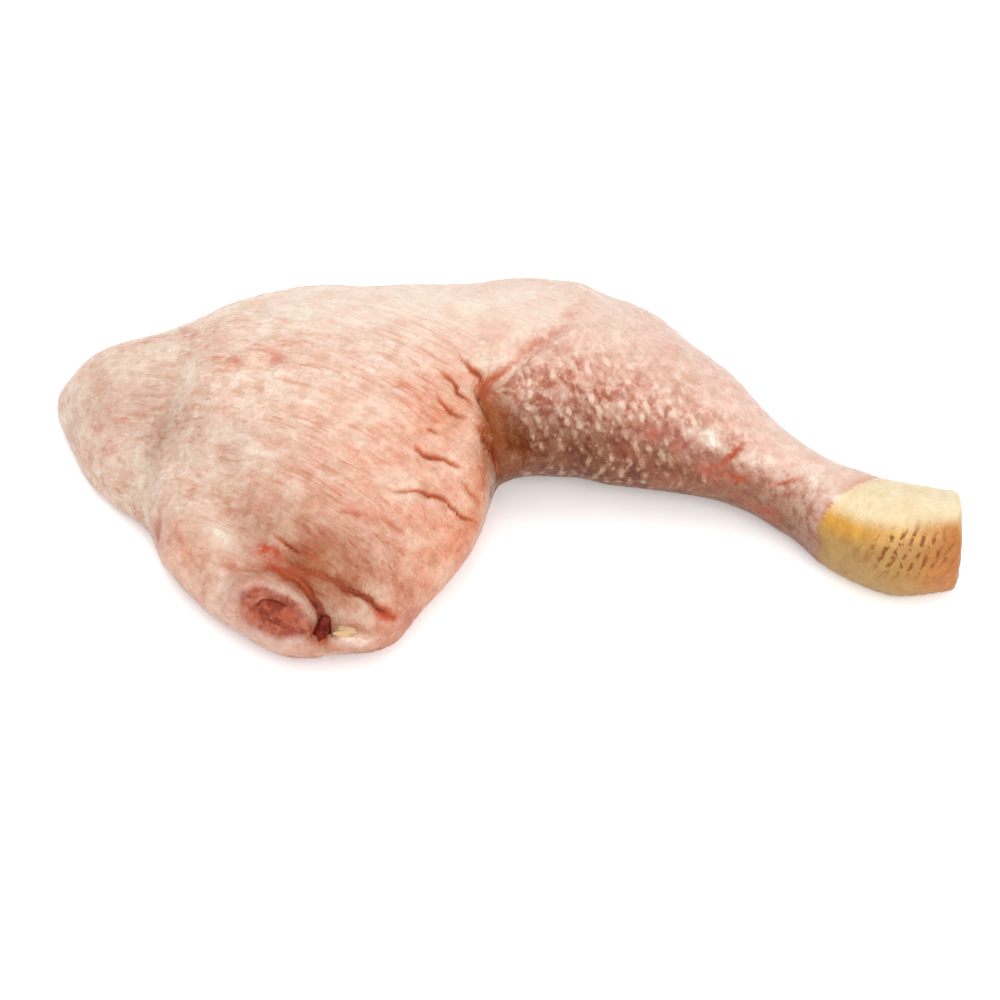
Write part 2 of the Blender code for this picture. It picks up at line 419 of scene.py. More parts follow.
@dataclass(frozen=True)
class LegForm:
    """The plain loft of the leg, in mm of its plan, as the solid model has it."""

    rump_x: float = -121.0
    cut_x: float = 124.0
    rump_round: float = 12.0
    cut_edge_round: float = 2.0
    centre: tuple[float, float] = (1.8, -18.1)
    thigh_end_x: float = -25.0
    calf_start_x: float = 12.0
    widest_share: tuple[float, float] = (0.33, 0.50)
    front_power: tuple[float, float] = (1.75, 2.0)
    under_power: tuple[float, float] = (3.4, 2.1)
    back_power: float = 2.1
    flat_depth: float = 1.2
    calf_lift: float = 2.6
    calf_lift_span: tuple[float, float] = (25.0, 96.0)
    row_spread: Path = ((0.0, -109.0), (0.10, -84.0), (0.33, -28.0), (0.49, 8.0), (1.0, 122.0))
    limits: tuple = ((-0.124, -0.065, 0.0), (0.124, 0.065, 0.046))
    margin: float = 1.5
    sections: tuple[Section, ...] = (
        Section(-121.0, 2.6, 13.0, 23.4, 16.0),
        Section(-104.0, -22.2, 12.5, 28.4, 24.0),
        Section(-93.0, -34.0, 12.0, 31.8, 28.0),
        Section(-88.0, -47.5, 12.0, 34.0, 30.0),
        Section(-70.0, -70.6, 12.0, 40.5, 36.0),
        Section(-50.0, -82.6, 12.0, 45.5, 39.8),
        Section(-33.0, -81.4, 13.0, 43.0, 41.8),
        Section(-27.0, -78.6, 13.3, 42.8, 42.4),
        Section(-18.0, -65.0, 14.0, 41.6, 42.5),
        Section(-5.0, -43.8, 14.0, 41.6, 43.0),
        Section(1.5, -21.0, 12.0, 42.5, 44.0),
        Section(8.0, -19.0, 11.0, 42.5, 44.5),
        Section(20.0, -19.0, 10.0, 40.5, 45.0),
        Section(30.0, -21.2, 7.9, 36.4, 42.9),
        Section(40.0, -22.8, 5.0, 32.2, 41.2),
        Section(60.0, -24.4, -4.0, 15.8, 32.4),
        Section(78.0, -33.0, -19.2, -4.6, 25.7),
        Section(92.0, -48.2, -32.5, -17.6, 26.2),
        Section(108.0, -56.4, -41.5, -26.2, 29.0),
        Section(124.0, -52.5, -41.0, -29.0, 27.0),
    )

    def rows(self, count: int, rump_rows: int, edge_rows: int) -> Array:
        """X of every row of points: crowded at the round rump tip, at the folds and at the cut's edge.

        Args:
            count: Rows between the rump tip's rounding and the cut's edge.
            rump_rows: Rows in the rump tip's rounding.
            edge_rows: Rows in the cut's edge.

        Returns:
            A column of X values.
        """
        turn = np.linspace(0.0, 0.5 * math.pi, rump_rows + 1)[1:]
        rump = self.rump_x + self.rump_round * (1.0 - np.cos(turn))
        turn = np.linspace(0.0, 0.5 * math.pi, edge_rows + 1)[1:]
        edge = self.cut_x - self.cut_edge_round * np.cos(turn)
        shares, places = np.asarray(self.row_spread).T
        middle = through(shares, places, np.linspace(0.0, 1.0, count)[1:])
        return np.concatenate([rump, middle, edge])[:, None]

    def around(self, x: Array, over: int, under: int) -> Array:
        """Angles round each section: front edge, crest, back edge, then underneath, at even steps.

        Args:
            x: A column of X values.
            over: Points on the upper side.
            under: Points on the lower side.

        Returns:
            One angle for every point.
        """
        spans = ((0.0, math.pi, over), (math.pi, 2.0 * math.pi, under))
        return np.concatenate([self._evenly(x, *span) for span in spans], axis=1)

    def _evenly(self, x: Array, first: float, last: float, count: int) -> Array:
        """Angles that put points at equal steps along each outline, read off its running length.

        Args:
            x: A column of X values.
            first: Angle of the first point.
            last: Angle where the next span starts.
            count: Points in the span.

        Returns:
            The angles, a row for each X.
        """
        angle = np.linspace(first, last, 3 * count)
        steps = np.linalg.norm(np.diff(self.base(x, angle[None, :]), axis=1), axis=-1)
        run = np.concatenate([np.zeros((len(x), 1)), np.cumsum(steps, axis=1)], axis=1)
        share = np.linspace(0.0, 1.0, count, endpoint=False)
        return np.stack([np.interp(share * length[-1], length, angle) for length in run])

    def outline(self, x: Array) -> dict[str, Array]:
        """Measures of the section at X: smooth curves through the sections, less the ends' rounding.

        Args:
            x: X values.

        Returns:
            Crest, the reach to the front and the back, the widest line's height, the rise above it and
            the drop below it, and the powers of the front and the lower quarters.
        """
        along = [s.x for s in self.sections]
        front = through(along, [s.front for s in self.sections], x)
        crest = through(along, [s.crest for s in self.sections], x)
        back = through(along, [s.back for s in self.sections], x)
        top = through(along, [s.top for s in self.sections], x)
        calf = smooth_step(x, self.thigh_end_x, self.calf_start_x)
        lift_from, lift_to = self.calf_lift_span
        lift_share = np.clip((x - lift_from) / (lift_to - lift_from), 0.0, 1.0)
        lowest = self.calf_lift * np.sin(math.pi * lift_share) ** 2 - self.flat_depth
        widest = top * (self.widest_share[0] + np.diff(self.widest_share) * calf)
        into_rump = np.clip((self.rump_x + self.rump_round - x) / self.rump_round, 0.0, 1.0)
        into_cut = np.clip((x - self.cut_x + self.cut_edge_round) / self.cut_edge_round, 0.0, 1.0)
        rump_share = np.sqrt(1.0 - into_rump**2)
        cut_shrink = self.cut_edge_round * (1.0 - np.sqrt(1.0 - into_cut**2))
        return {
            "crest": crest,
            "to_front": (crest - front) * rump_share - cut_shrink,
            "to_back": (back - crest) * rump_share - cut_shrink,
            "widest": widest,
            "rise": (top - widest) * rump_share - cut_shrink,
            "drop": (widest - lowest) * rump_share - cut_shrink,
            "front_power": self.front_power[0] + np.diff(self.front_power) * calf,
            "under_power": self.under_power[0] + np.diff(self.under_power) * calf,
        }

    def base(self, x: Array, angle: Array) -> Array:
        """Points of the plain loft.

        Each section is four quarters of superellipses, |cos|^(2/p) and |sin|^(2/p), that meet at the
        crest and at the widest line.

        Args:
            x: X values, one a row or one a point.
            angle: Angle round the section of every point.

        Returns:
            The points, in mm of the leg's plan.
        """
        size = self.outline(x)
        cos, sin = np.cos(angle), np.sin(angle)
        is_front, is_over = cos > 0.0, sin > 0.0
        over_power = np.where(is_front, size["front_power"], self.back_power)
        power = np.where(is_over, over_power, size["under_power"])
        cos = np.sign(cos) * np.abs(cos) ** (2.0 / power)
        sin = np.sign(sin) * np.abs(sin) ** (2.0 / power)
        y = size["crest"] - np.where(is_front, size["to_front"], size["to_back"]) * cos
        z = size["widest"] + np.where(is_over, size["rise"], size["drop"]) * sin
        return np.stack([np.broadcast_to(x, y.shape), y, z], axis=-1)

    def angle_at(self, x: Array, y: Array) -> Array:
        """Angle of the upper front quarter's point at plan Y: the superellipse's inverse.

        Args:
            x: X values.
            y: Plan Y values, as many as X values.

        Returns:
            The angles round the sections.
        """
        size = self.outline(x)
        share = np.clip((size["crest"] - y) / size["to_front"], 0.0, 1.0)
        return np.arccos(share ** (0.5 * size["front_power"]))

    def on_skin(self, x: Array, angle: Array) -> tuple[Array, Array, Array]:
        """Points of the plain loft with their directions.

        Args:
            x: X values.
            angle: Angles round the section, as many as X values.

        Returns:
            The points, the outward directions and the directions round the section.
        """
        small_x, small_angle = 0.4, 0.02
        along = self.base(x + small_x, angle) - self.base(x - small_x, angle)
        around = self.base(x, angle + small_angle) - self.base(x, angle - small_angle)
        out = unit(np.cross(along, around))
        return self.base(x, angle), out, unit(around)

    def in_frame(self, points: Array) -> Array:
        """Moves points from the plan in mm to the frame in metres, held within the solid model's box.

        Args:
            points: Points of the plan.

        Returns:
            The points of the frame, none of them below the floor.
        """
        placed = (points - np.array([*self.centre, 0.0])) * MM
        low, high = self.limits
        margin = self.margin * MM
        held = [held_within(placed[..., axis], low[axis], high[axis], margin) for axis in (0, 1)]
        over = np.maximum(placed[..., 2] - high[2] + margin, 0.0)
        height = placed[..., 2] - over + margin * np.tanh(over / margin)
        return np.stack([*held, np.maximum(height, 0.0)], axis=-1)


def closed_faces(rows: int, columns: int) -> list[list[int]]:
    """Faces of a closed form: rings of points in rows, then a first pole and a last pole.

    Quads join each ring to the next, and triangles join the poles to the first and the last ring.

    Args:
        rows: Number of rings.
        columns: Points in each ring.

    Returns:
        The faces as lists of point numbers.
    """
    step = np.arange(columns)
    onward = (step + 1) % columns
    here = np.arange(rows - 1)[:, None] * columns
    ahead = here + columns
    quads = np.stack([here + step, ahead + step, ahead + onward, here + onward], axis=-1).reshape(-1, 4)
    first_pole, last_pole, last_ring = rows * columns, rows * columns + 1, (rows - 1) * columns
    first_fan = np.stack([np.full(columns, first_pole), step, onward], axis=-1)
    last_fan = np.stack([np.full(columns, last_pole), last_ring + onward, last_ring + step], axis=-1)
    return quads.tolist() + first_fan.tolist() + last_fan.tolist()


def signed_volume(points: Array, faces: list[list[int]]) -> float:
    """Volume inside the faces: a sixth of the sum of the corners' triple products.

    Args:
        points: The corners.
        faces: Triangles and quads, as lists of point numbers.

    Returns:
        The volume, negative where the faces point inwards.
    """
    corners = np.array([points[face[:3]] for face in faces])
    fourth = np.array([points[face[-1]] for face in faces])
    first = np.einsum("ij,ij->i", corners[:, 0], np.cross(corners[:, 1], corners[:, 2]))
    second = np.einsum("ij,ij->i", corners[:, 0], np.cross(corners[:, 2], fourth))
    return float(first.sum() + second.sum()) / 6.0


def with_poles(values: Array) -> Array:
    """Flattens rows of values and adds the means of the first and the last row, which are the poles'.

    Args:
        values: Rows of values, each row a closed ring, with one or three numbers at each point.

    Returns:
        One row of numbers for each point, the two poles last.
    """
    width = values.shape[2:] or (1,)
    rows = values.reshape(*values.shape[:2], *width)
    return np.concatenate([rows.reshape(-1, *width), rows[:1].mean(axis=1), rows[-1:].mean(axis=1)])


def add_piece(
    name: str,
    forms: list[Array],
    leg: LegForm,
    material: Material,
    values: dict[str, Array] | None = None,
) -> Piece:
    """Makes one piece of the leg from closed forms, each of them rings of points, and sets it in the frame.

    Args:
        name: Name of the piece.
        forms: For each form, rows of points in mm of the leg's plan, each row a closed ring.
        leg: The leg's form, which knows where the frame lies.
        material: The piece's material.
        values: Values for the finish of a piece of one form, by name, one or three for each point.

    Returns:
        The finished object.
    """
    points, faces = [], []
    for rings in forms:
        form_points = leg.in_frame(with_poles(rings))
        form_faces = closed_faces(*rings.shape[:2])
        if signed_volume(form_points, form_faces) < 0.0:
            form_faces = [face[::-1] for face in form_faces]
        start = sum(len(made) for made in points)
        faces += [[start + corner for corner in face] for face in form_faces]
        points.append(form_points)
    mesh = bpy.data.meshes.new(name)
    mesh.from_pydata(np.concatenate(points).tolist(), [], faces)
    for value_name, value in (values or {}).items():
        flat = with_poles(value)
        kind, field_name = ("FLOAT_VECTOR", "vector") if flat.shape[1] == 3 else ("FLOAT", "value")
        layer = mesh.attributes.new(value_name, kind, "POINT")
        layer.data.foreach_set(field_name, flat.astype(np.float32).ravel())
    mesh.materials.append(material)
    mesh.shade_smooth()
    piece = bpy.data.objects.new(name, mesh)
    bpy.context.scene.collection.objects.link(piece)
    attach(piece, BODY)
    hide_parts(NODE)
    return piece


@dataclass(frozen=True)
class Lump:
    """A soft uneven blob: an ellipsoid that lies in the skin, in mm."""

    radii: tuple[float, float, float]
    turn: float = 0.0
    sink: float = 0.0
    unevenness: float = 0.12
    seed: int = 1

    def rings(self, place: Array, out: Array, side: Array, rows: int = 30, columns: int = 48) -> Array:
        """An ellipsoid's circles of latitude, pushed in and out by a noise.

        Its axes are side, turned by the lump's turn, the direction square to that, and out.

        Args:
            place: Where the lump lies on the skin.
            out: Outward direction there.
            side: A direction along the skin there.
            rows: Circles from pole to pole.
            columns: Points in each circle.

        Returns:
            The rings of points.
        """
        turn = math.radians(self.turn)
        first = math.cos(turn) * side + math.sin(turn) * np.cross(out, side)
        second = np.cross(out, first)
        latitude = np.linspace(0.0, math.pi, rows + 2)[1:-1, None]
        longitude = np.linspace(0.0, 2.0 * math.pi, columns, endpoint=False)[None, :]
        ball = np.stack(
            [
                np.sin(latitude) * np.cos(longitude),
                np.sin(latitude) * np.sin(longitude),
                np.broadcast_to(np.cos(latitude), (rows, columns)),
            ],
            axis=-1,
        )
        hills = Noise(self.seed)
        broad, small = hills.at(ball + 5.0, 0.55), hills.at(ball + 9.0, 0.22)
        ball *= 1.0 + self.unevenness * (broad + 0.5 * small)[..., None]
        scaled = ball * np.asarray(self.radii)
        axes = np.stack([first, second, out])
        return place - self.sink * out + scaled @ axes


class Wiring:
    """Adds nodes to a material or a node group and links them, one short call a node."""

    def __init__(self, tree: bpy.types.NodeTree) -> None:
        """Keeps the tree that the nodes go into."""
        self.tree = tree

    def node(self, kind: str, **settings: object) -> bpy.types.Node:
        """Adds a node and sets its options.

        Args:
            kind: Blender's name for the kind of node.
            settings: Options by name.

        Returns:
            The node.
        """
        made = self.tree.nodes.new(kind)
        for name, value in settings.items():
            setattr(made, name, value)
        return made

    def feed(self, socket: Socket, value: object) -> None:
        """Links a socket into another, or sets a plain value on it.

        Args:
            socket: The input.
            value: An output's socket, or the value.
        """
        if isinstance(value, bpy.types.NodeSocket):
            self.tree.links.new(value, socket)
        else:
            socket.default_value = value

    def math(self, operation: str, first: Value, second: Value = 0.0, clamp: bool = False) -> Socket:
        """Adds a Math node.

        Args:
            operation: Name of the operation.
            first: First value.
            second: Second value.
            clamp: Whether the result is kept from 0 to 1.

        Returns:
            The result's socket.
        """
        made = self.node("ShaderNodeMath", operation=operation, use_clamp=clamp)
        self.feed(made.inputs[0], first)
        self.feed(made.inputs[1], second)
        return made.outputs[0]

    def step(self, value: Value, start: float, end: float, low: float = 0.0, high: float = 1.0) -> Socket:
        """Adds a Map Range node with a smooth step.

        Args:
            value: What is measured.
            start: Where the step leaves low.
            end: Where the step reaches high.
            low: Result up to start.
            high: Result from end on.

        Returns:
            The result's socket.
        """
        made = self.node("ShaderNodeMapRange", interpolation_type="SMOOTHSTEP")
        given = {"Value": value, "From Min": start, "From Max": end, "To Min": low, "To Max": high}
        for name, number in given.items():
            self.feed(made.inputs[name], number)
        return made.outputs[0]

    def times(self, first: Value, *others: Value) -> Socket:
        """Multiplies values one after the other."""
        for other in others:
            first = self.math("MULTIPLY", first, other)
        return first

    def mix(self, share: Value, first: object, second: object, blend: str = "MIX") -> Socket:
        """Adds a Mix node for colours.

        Args:
            share: How much of the second colour shows.
            first: First colour.
            second: Second colour.
            blend: Name of the blend.

        Returns:
            The mixed colour's socket.
        """
        made = self.node("ShaderNodeMix", data_type="RGBA", blend_type=blend)
        self.feed(made.inputs["Factor"], share)
        self.feed(made.inputs[6], first)
        self.feed(made.inputs[7], second)
        return made.outputs[2]

    def tinted(self, share: Value, colour: object, tint: object) -> Socket:
        """Multiplies a colour by a tint, by a share."""
        return self.mix(share, colour, tint, "MULTIPLY")

    def attribute(self, name: str) -> bpy.types.Node:
        """Adds a node that reads a value kept on the mesh."""
        return self.node("ShaderNodeAttribute", attribute_name=name)

    def noise(self, place: Socket, scale: Value, detail: float = 2.0, distortion: float = 0.0) -> Socket:
        """Adds a Noise Texture.

        Args:
            place: Where it is read.
            scale: How fine it is.
            detail: How many finer layers it has.
            distortion: How much it swirls.

        Returns:
            The socket of its value, from 0 to 1.
        """
        made = self.node("ShaderNodeTexNoise")
        self.feed(made.inputs["Vector"], place)
        self.feed(made.inputs["Scale"], scale)
        self.feed(made.inputs["Detail"], detail)
        self.feed(made.inputs["Distortion"], distortion)
        return made.outputs[0]

    def stretched(self, place: Socket, scale: tuple[float, float, float]) -> Socket:
        """Adds a Mapping node that stretches a place.

        Args:
            place: What is stretched.
            scale: Factor on each axis.

        Returns:
            The stretched place's socket.
        """
        made = self.node("ShaderNodeMapping")
        self.feed(made.inputs["Vector"], place)
        made.inputs["Scale"].default_value = scale
        return made.outputs[0]

    def bump(self, height: Value, strength: float, distance: float, normal: Socket | None = None) -> Socket:
        """Adds a Bump node.

        Args:
            height: Height, from 0 to 1.
            strength: How strong the bump is.
            distance: Height in metres that 1 stands for.
            normal: Normal of a bump that comes before this one.

        Returns:
            The normal's socket.
        """
        made = self.node("ShaderNodeBump")
        made.inputs["Strength"].default_value = strength
        made.inputs["Distance"].default_value = distance
        self.feed(made.inputs["Height"], height)
        if normal is not None:
            self.feed(made.inputs["Normal"], normal)
        return made.outputs[0]


@dataclass(frozen=True)
class Effect:
    """A shader node group with named inputs and one output value, built once and placed in many materials."""

    name: str
    inputs: tuple[tuple[str, str, float], ...]

    def group(self) -> bpy.types.NodeTree:
        """Gives the group, which is built on the first call.

        Returns:
            The group's node tree.
        """
        tree = bpy.data.node_groups.get(self.name)
        if tree is None:
            tree = bpy.data.node_groups.new(self.name, "ShaderNodeTree")
            for name, kind, start in self.inputs:
                socket = tree.interface.new_socket(name, in_out="INPUT", socket_type=kind)
                if kind == "NodeSocketFloat":
                    socket.default_value = start
            tree.interface.new_socket("Value", in_out="OUTPUT", socket_type="NodeSocketFloat")
            wiring = Wiring(tree)
            entry = wiring.node("NodeGroupInput")
            result = self.value(wiring, {socket.name: socket for socket in entry.outputs})
            wiring.feed(wiring.node("NodeGroupOutput").inputs["Value"], result)
        return tree

    def value(self, wiring: Wiring, given: dict[str, Socket]) -> Socket:
        """Builds what the group works out. Each effect has its own."""
        raise NotImplementedError

    def placed(self, wiring: Wiring, **given: object) -> Socket:
        """Puts the group into a material and feeds its inputs by name.

        Args:
            wiring: Wiring of the material.
            given: What each input gets.

        Returns:
            The group's output socket.
        """
        made = wiring.node("ShaderNodeGroup", node_tree=self.group())
        for name, value in given.items():
            wiring.feed(made.inputs[name], value)
        return made.outputs["Value"]


class Mottle(Effect):
    """Cloudy patches: a broad noise and a finer one added, cut by a soft step."""

    def value(self, wiring: Wiring, given: dict[str, Socket]) -> Socket:
        """Adds two thirds of a broad noise to a third of a finer one, and steepens them round the level.

        Args:
            wiring: Wiring of the group.
            given: The group's inputs by name.

        Returns:
            The patches, from 0 to 1.
        """
        broad = wiring.noise(given["Place"], given["Scale"], 2.0, 0.6)
        fine = wiring.noise(given["Place"], wiring.math("MULTIPLY", given["Scale"], 3.1), 3.0, 0.3)
        both = wiring.math("ADD", wiring.math("MULTIPLY", broad, 0.65), wiring.math("MULTIPLY", fine, 0.35))
        centred = wiring.math("SUBTRACT", both, given["Level"])
        return wiring.math("ADD", wiring.math("MULTIPLY", centred, given["Contrast"]), 0.5, clamp=True)


class Moisture(Effect):
    """Roughness of a moist surface: wet and drier patches and a fine grain."""

    def value(self, wiring: Wiring, given: dict[str, Socket]) -> Socket:
        """Moves the given roughness up and down by two noises.

        Args:
            wiring: Wiring of the group.
            given: The group's inputs by name.

        Returns:
            The roughness, from 0 to 1.
        """
        patches = wiring.math("SUBTRACT", wiring.noise(given["Place"], 60.0, 2.0), 0.5)
        grain = wiring.math("SUBTRACT", wiring.noise(given["Place"], 900.0, 2.0), 0.5)
        both = wiring.math("ADD", patches, wiring.math("MULTIPLY", grain, 0.5))
        change = wiring.math("MULTIPLY", both, given["Change"])
        return wiring.math("ADD", given["Roughness"], change, clamp=True)


class Grain(Effect):
    """Fine skin grain: tiny cells and finer crumbs."""

    def value(self, wiring: Wiring, given: dict[str, Socket]) -> Socket:
        """Adds the distance to the nearest of scattered points to a finer noise.

        Args:
            wiring: Wiring of the group.
            given: The group's inputs by name.

        Returns:
            The grain's height.
        """
        cells = wiring.node("ShaderNodeTexVoronoi", feature="F1")
        wiring.feed(cells.inputs["Vector"], given["Place"])
        wiring.feed(cells.inputs["Scale"], given["Scale"])
        fine = wiring.noise(given["Place"], wiring.math("MULTIPLY", given["Scale"], 2.2), 3.0, 0.2)
        coarse = wiring.math("MULTIPLY", cells.outputs[0], 0.6)
        return wiring.math("ADD", coarse, wiring.math("MULTIPLY", fine, 0.4))


PLACE_INPUT = ("Place", "NodeSocketVector", 0.0)
MOTTLE = Mottle(
    "mottle",
    (
        PLACE_INPUT,
        ("Scale", "NodeSocketFloat", 40.0),
        ("Level", "NodeSocketFloat", 0.5),
        ("Contrast", "NodeSocketFloat", 4.0),
    ),
)
MOISTURE = Moisture(
    "moisture", (PLACE_INPUT, ("Roughness", "NodeSocketFloat", 0.4), ("Change", "NodeSocketFloat", 0.3))
)
GRAIN = Grain("grain", (PLACE_INPUT, ("Scale", "NodeSocketFloat", 900.0)))


@dataclass(frozen=True)
class Clouds:
    """One set of cloudy patches: how fine they are, how little they cover and how sharp they are."""

    scale: float
    level: float
    contrast: float

    def on(self, wiring: Wiring, place: Socket) -> Socket:
        """Places the patches in a material."""
        return MOTTLE.placed(wiring, Place=place, Scale=self.scale, Level=self.level, Contrast=self.contrast)


@dataclass(frozen=True)
class Finish:
    """What every finish of the leg shares: a name and a moist gloss."""

    name: str
    gloss: float = 0.2
    coat: float = 0.03
    coat_roughness: float = 0.22

    def material(self) -> Material:
        """Builds the material: a Principled shader with the finish's own colour, roughness and normal.

        Returns:
            The material.
        """
        material = bpy.data.materials.new(self.name)
        material.use_nodes = True
        tree = material.node_tree
        shader = tree.nodes["Principled BSDF"]
        shader.inputs["Specular IOR Level"].default_value = self.gloss
        shader.inputs["Coat Weight"].default_value = self.coat
        shader.inputs["Coat Roughness"].default_value = self.coat_roughness
        wiring = Wiring(tree)
        place = wiring.node("ShaderNodeTexCoord").outputs["Object"]
        colour, roughness, normal = self.look(wiring, place)
        wiring.feed(shader.inputs["Base Color"], colour)
        wiring.feed(shader.inputs["Roughness"], roughness)
        wiring.feed(shader.inputs["Normal"], normal)
        return material

    def look(self, wiring: Wiring, place: Socket) -> tuple[Socket, Socket, Socket]:
        """Works out colour, roughness and normal. Each finish has its own."""
        raise NotImplementedError


PEACH = seen(254, 233, 216)
DRUM_PINK = seen(252, 227, 214)


@dataclass(frozen=True)
class SkinInputs:
    """What the parts of the skin's finish read."""

    wiring: Wiring
    place: Socket
    flow: Socket
    masks: dict[Mask, Socket]
    crumbs: Socket

    def warm_shade(self, least: float, most: float) -> Socket:
        """A share that goes from least to most where the warm painted shade of the lower slopes lies."""
        return self.wiring.step(self.masks[Mask.WARM], 0.0, 1.0, least, most)


@dataclass(frozen=True)
class SkinFinish(Finish):
    """Moist pale skin: peach and pink clouds, red streaks, creases with painted shade, pale dots, and the
    yellow hock.
    """

    cream: Colour = seen(255, 242, 226)
    pink: Colour = seen(248, 212, 196)
    rose: Colour = seen(240, 184, 160)
    tan: Colour = seen(224, 199, 170)
    fleck: Colour = seen(232, 166, 146)
    # Painted shade: grey on the thigh's drooping slopes and valleys.
    grey_shade_tint: Colour = tint_between(seen(219, 197, 180), PEACH)
    # Painted shade: warm orange-brown low on the thigh.
    warm_shade_tint: Colour = tint_between(seen(188, 125, 81), PEACH)
    # Orange on the thigh's front-right side walls: partly the skin's own colour, partly painted shade.
    orange_shade_tint: Colour = tint_between(seen(242, 168, 130), PEACH)
    shade_tint: Colour = tint_between(seen(152, 108, 76), DRUM_PINK)
    drum_pink: Colour = seen(244, 204, 192)
    # Painted shadow under each of the drumstick's dots.
    dot_shadow_tint: Colour = (0.70, 0.41, 0.28, 1.0)
    # Painted highlight on the upper side of each dot.
    dot: Colour = seen(250, 224, 202)
    blood: Colour = seen(196, 78, 52)
    halo_tint: Colour = tint_between(seen(240, 176, 140), PEACH)
    line: Colour = seen(188, 96, 56)
    deep: Colour = seen(116, 42, 16)
    # Painted shade in the knee's crook and the hip's gaps.
    brown: Colour = seen(158, 86, 44)
    # The hock runs from this cream where it faces up, through gold, to tan below: painted light and shade.
    hock_light: Colour = seen(246, 229, 191)
    hock_gold: Colour = seen(222, 165, 72)
    # Painted shade low on the hock.
    hock_low_shade: Colour = seen(184, 146, 88)
    # Orange low on the hock near the cut: partly its own colour, partly painted shade.
    hock_orange_shade: Colour = seen(194, 121, 62)
    scale_tint: Colour = (0.70, 0.56, 0.40, 1.0)
    tick: Colour = seen(146, 82, 40)
    flesh: Colour = seen(176, 90, 64)
    flesh_dark: Colour = seen(134, 52, 34)
    flesh_pale: Colour = seen(222, 160, 138)
    streak_tint: Colour = (0.82, 0.54, 0.42, 1.0)
    # Painted shade in creases and low on the thigh.
    brown_shade_tint: Colour = (0.74, 0.40, 0.26, 1.0)
    stain_tint: Colour = (0.62, 0.33, 0.22, 1.0)
    speckle_tint: Colour = (0.82, 0.72, 0.66, 1.0)
    crumbs: Clouds = Clouds(300.0, 0.50, 5.0)
    thigh_clouds: Clouds = Clouds(44.0, 0.50, 4.0)
    thigh_patches: Clouds = Clouds(135.0, 0.53, 5.0)
    thigh_grains: Clouds = Clouds(360.0, 0.56, 6.0)
    drum_clouds: Clouds = Clouds(170.0, 0.50, 3.2)
    drum_grains: Clouds = Clouds(420.0, 0.52, 6.0)
    drum_flecks: Clouds = Clouds(510.0, 0.55, 6.0)
    drum_stains: Clouds = Clouds(240.0, 0.52, 7.0)
    hock_clouds: Clouds = Clouds(120.0, 0.55, 4.0)
    flesh_patches: Clouds = Clouds(170.0, 0.52, 5.0)
    band_stretch: tuple[float, float, float] = (90.0, 640.0, 640.0)
    strand_stretch: tuple[float, float, float] = (75.0, 620.0, 620.0)
    wrinkle_stretch: tuple[float, float, float] = (110.0, 620.0, 620.0)
    wrinkle_depth: float = 0.0008
    pore_scale: float = 1000.0
    pore_depth: float = 0.0004
    tick_scale: float = 118.0
    tick_slant: float = -24.0
    tick_distortion: float = 2.6
    tick_detail: float = 1.0
    tick_detail_scale: float = 2.2
    tick_gap_scale: float = 560.0

    def look(self, wiring: Wiring, place: Socket) -> tuple[Socket, Socket, Socket]:
        """Mixes the skin's colours one over the other by noises and by the values kept on the mesh.

        Args:
            wiring: Wiring of the material.
            place: Object coordinates.

        Returns:
            The sockets of colour, roughness and normal.
        """
        masks = {mask: wiring.attribute(mask.value).outputs["Fac"] for mask in Mask}
        flow = wiring.attribute("flow").outputs["Vector"]
        crumbs = self.crumbs.on(wiring, place)
        skin = SkinInputs(wiring, place, flow, masks, crumbs)
        colour = wiring.mix(masks[Mask.DRUM], self._thigh(skin), self._drumstick(skin))
        # Painted shade in the creases.
        colour = wiring.tinted(wiring.step(masks[Mask.CREASE], 0.10, 0.80), colour, self.brown_shade_tint)
        colour = wiring.mix(masks[Mask.HOCK], colour, self._hock(skin))
        broken = wiring.step(crumbs, 0.1, 0.9, 0.45, 1.0)
        # Painted highlights.
        colour = wiring.mix(wiring.times(masks[Mask.CREAM], broken), colour, self.cream)
        colour = wiring.mix(wiring.times(masks[Mask.BLUSH], broken), colour, self.blood)
        nearly_whole = wiring.step(crumbs, 0.1, 0.9, 0.72, 1.0)
        # Mostly painted shade in the knee's crook and the hip's gaps, with a few brown patches of the skin.
        colour = wiring.mix(wiring.times(masks[Mask.BROWN], nearly_whole), colour, self.brown)
        colour = wiring.mix(masks[Mask.FLESH], colour, self._flesh(skin))
        colour = self._lines(skin, colour)
        roughness = MOISTURE.placed(wiring, Place=place, Roughness=0.42, Change=0.35)
        pores = wiring.bump(GRAIN.placed(wiring, Place=place, Scale=self.pore_scale), 0.7, self.pore_depth)
        wrinkles = wiring.noise(wiring.stretched(flow, self.wrinkle_stretch), 1.0, 2.0, 0.4)
        return colour, roughness, wiring.bump(wrinkles, 0.6, self.wrinkle_depth, pores)

    def _thigh(self, skin: SkinInputs) -> Socket:
        """Peach, pink and rose clouds with red and cream streaks that follow the skin's flow, and painted
        shade on the lower and side slopes.

        Args:
            skin: What the finish reads.

        Returns:
            The colour's socket.
        """
        wiring, masks = skin.wiring, skin.masks
        clouds = self.thigh_clouds.on(wiring, skin.place)
        colour = wiring.mix(clouds, PEACH, self.pink)
        patches = self.thigh_patches.on(wiring, skin.place)
        colour = wiring.mix(wiring.times(patches, 0.6), colour, self.rose)
        bands = wiring.noise(wiring.stretched(skin.flow, self.band_stretch), 1.0, 3.0, 0.9)
        calm = wiring.step(masks[Mask.CALM], 0.0, 1.0, 1.0, 0.25)
        bands = wiring.times(wiring.step(bands, 0.46, 0.68, 0.0, 0.65), calm)
        colour = wiring.mix(bands, colour, self.cream)
        grains = self.thigh_grains.on(wiring, skin.place)
        colour = wiring.mix(wiring.times(grains, 0.55), colour, self.tan)
        uneven = wiring.step(clouds, 0.0, 1.0, 0.65, 1.0)
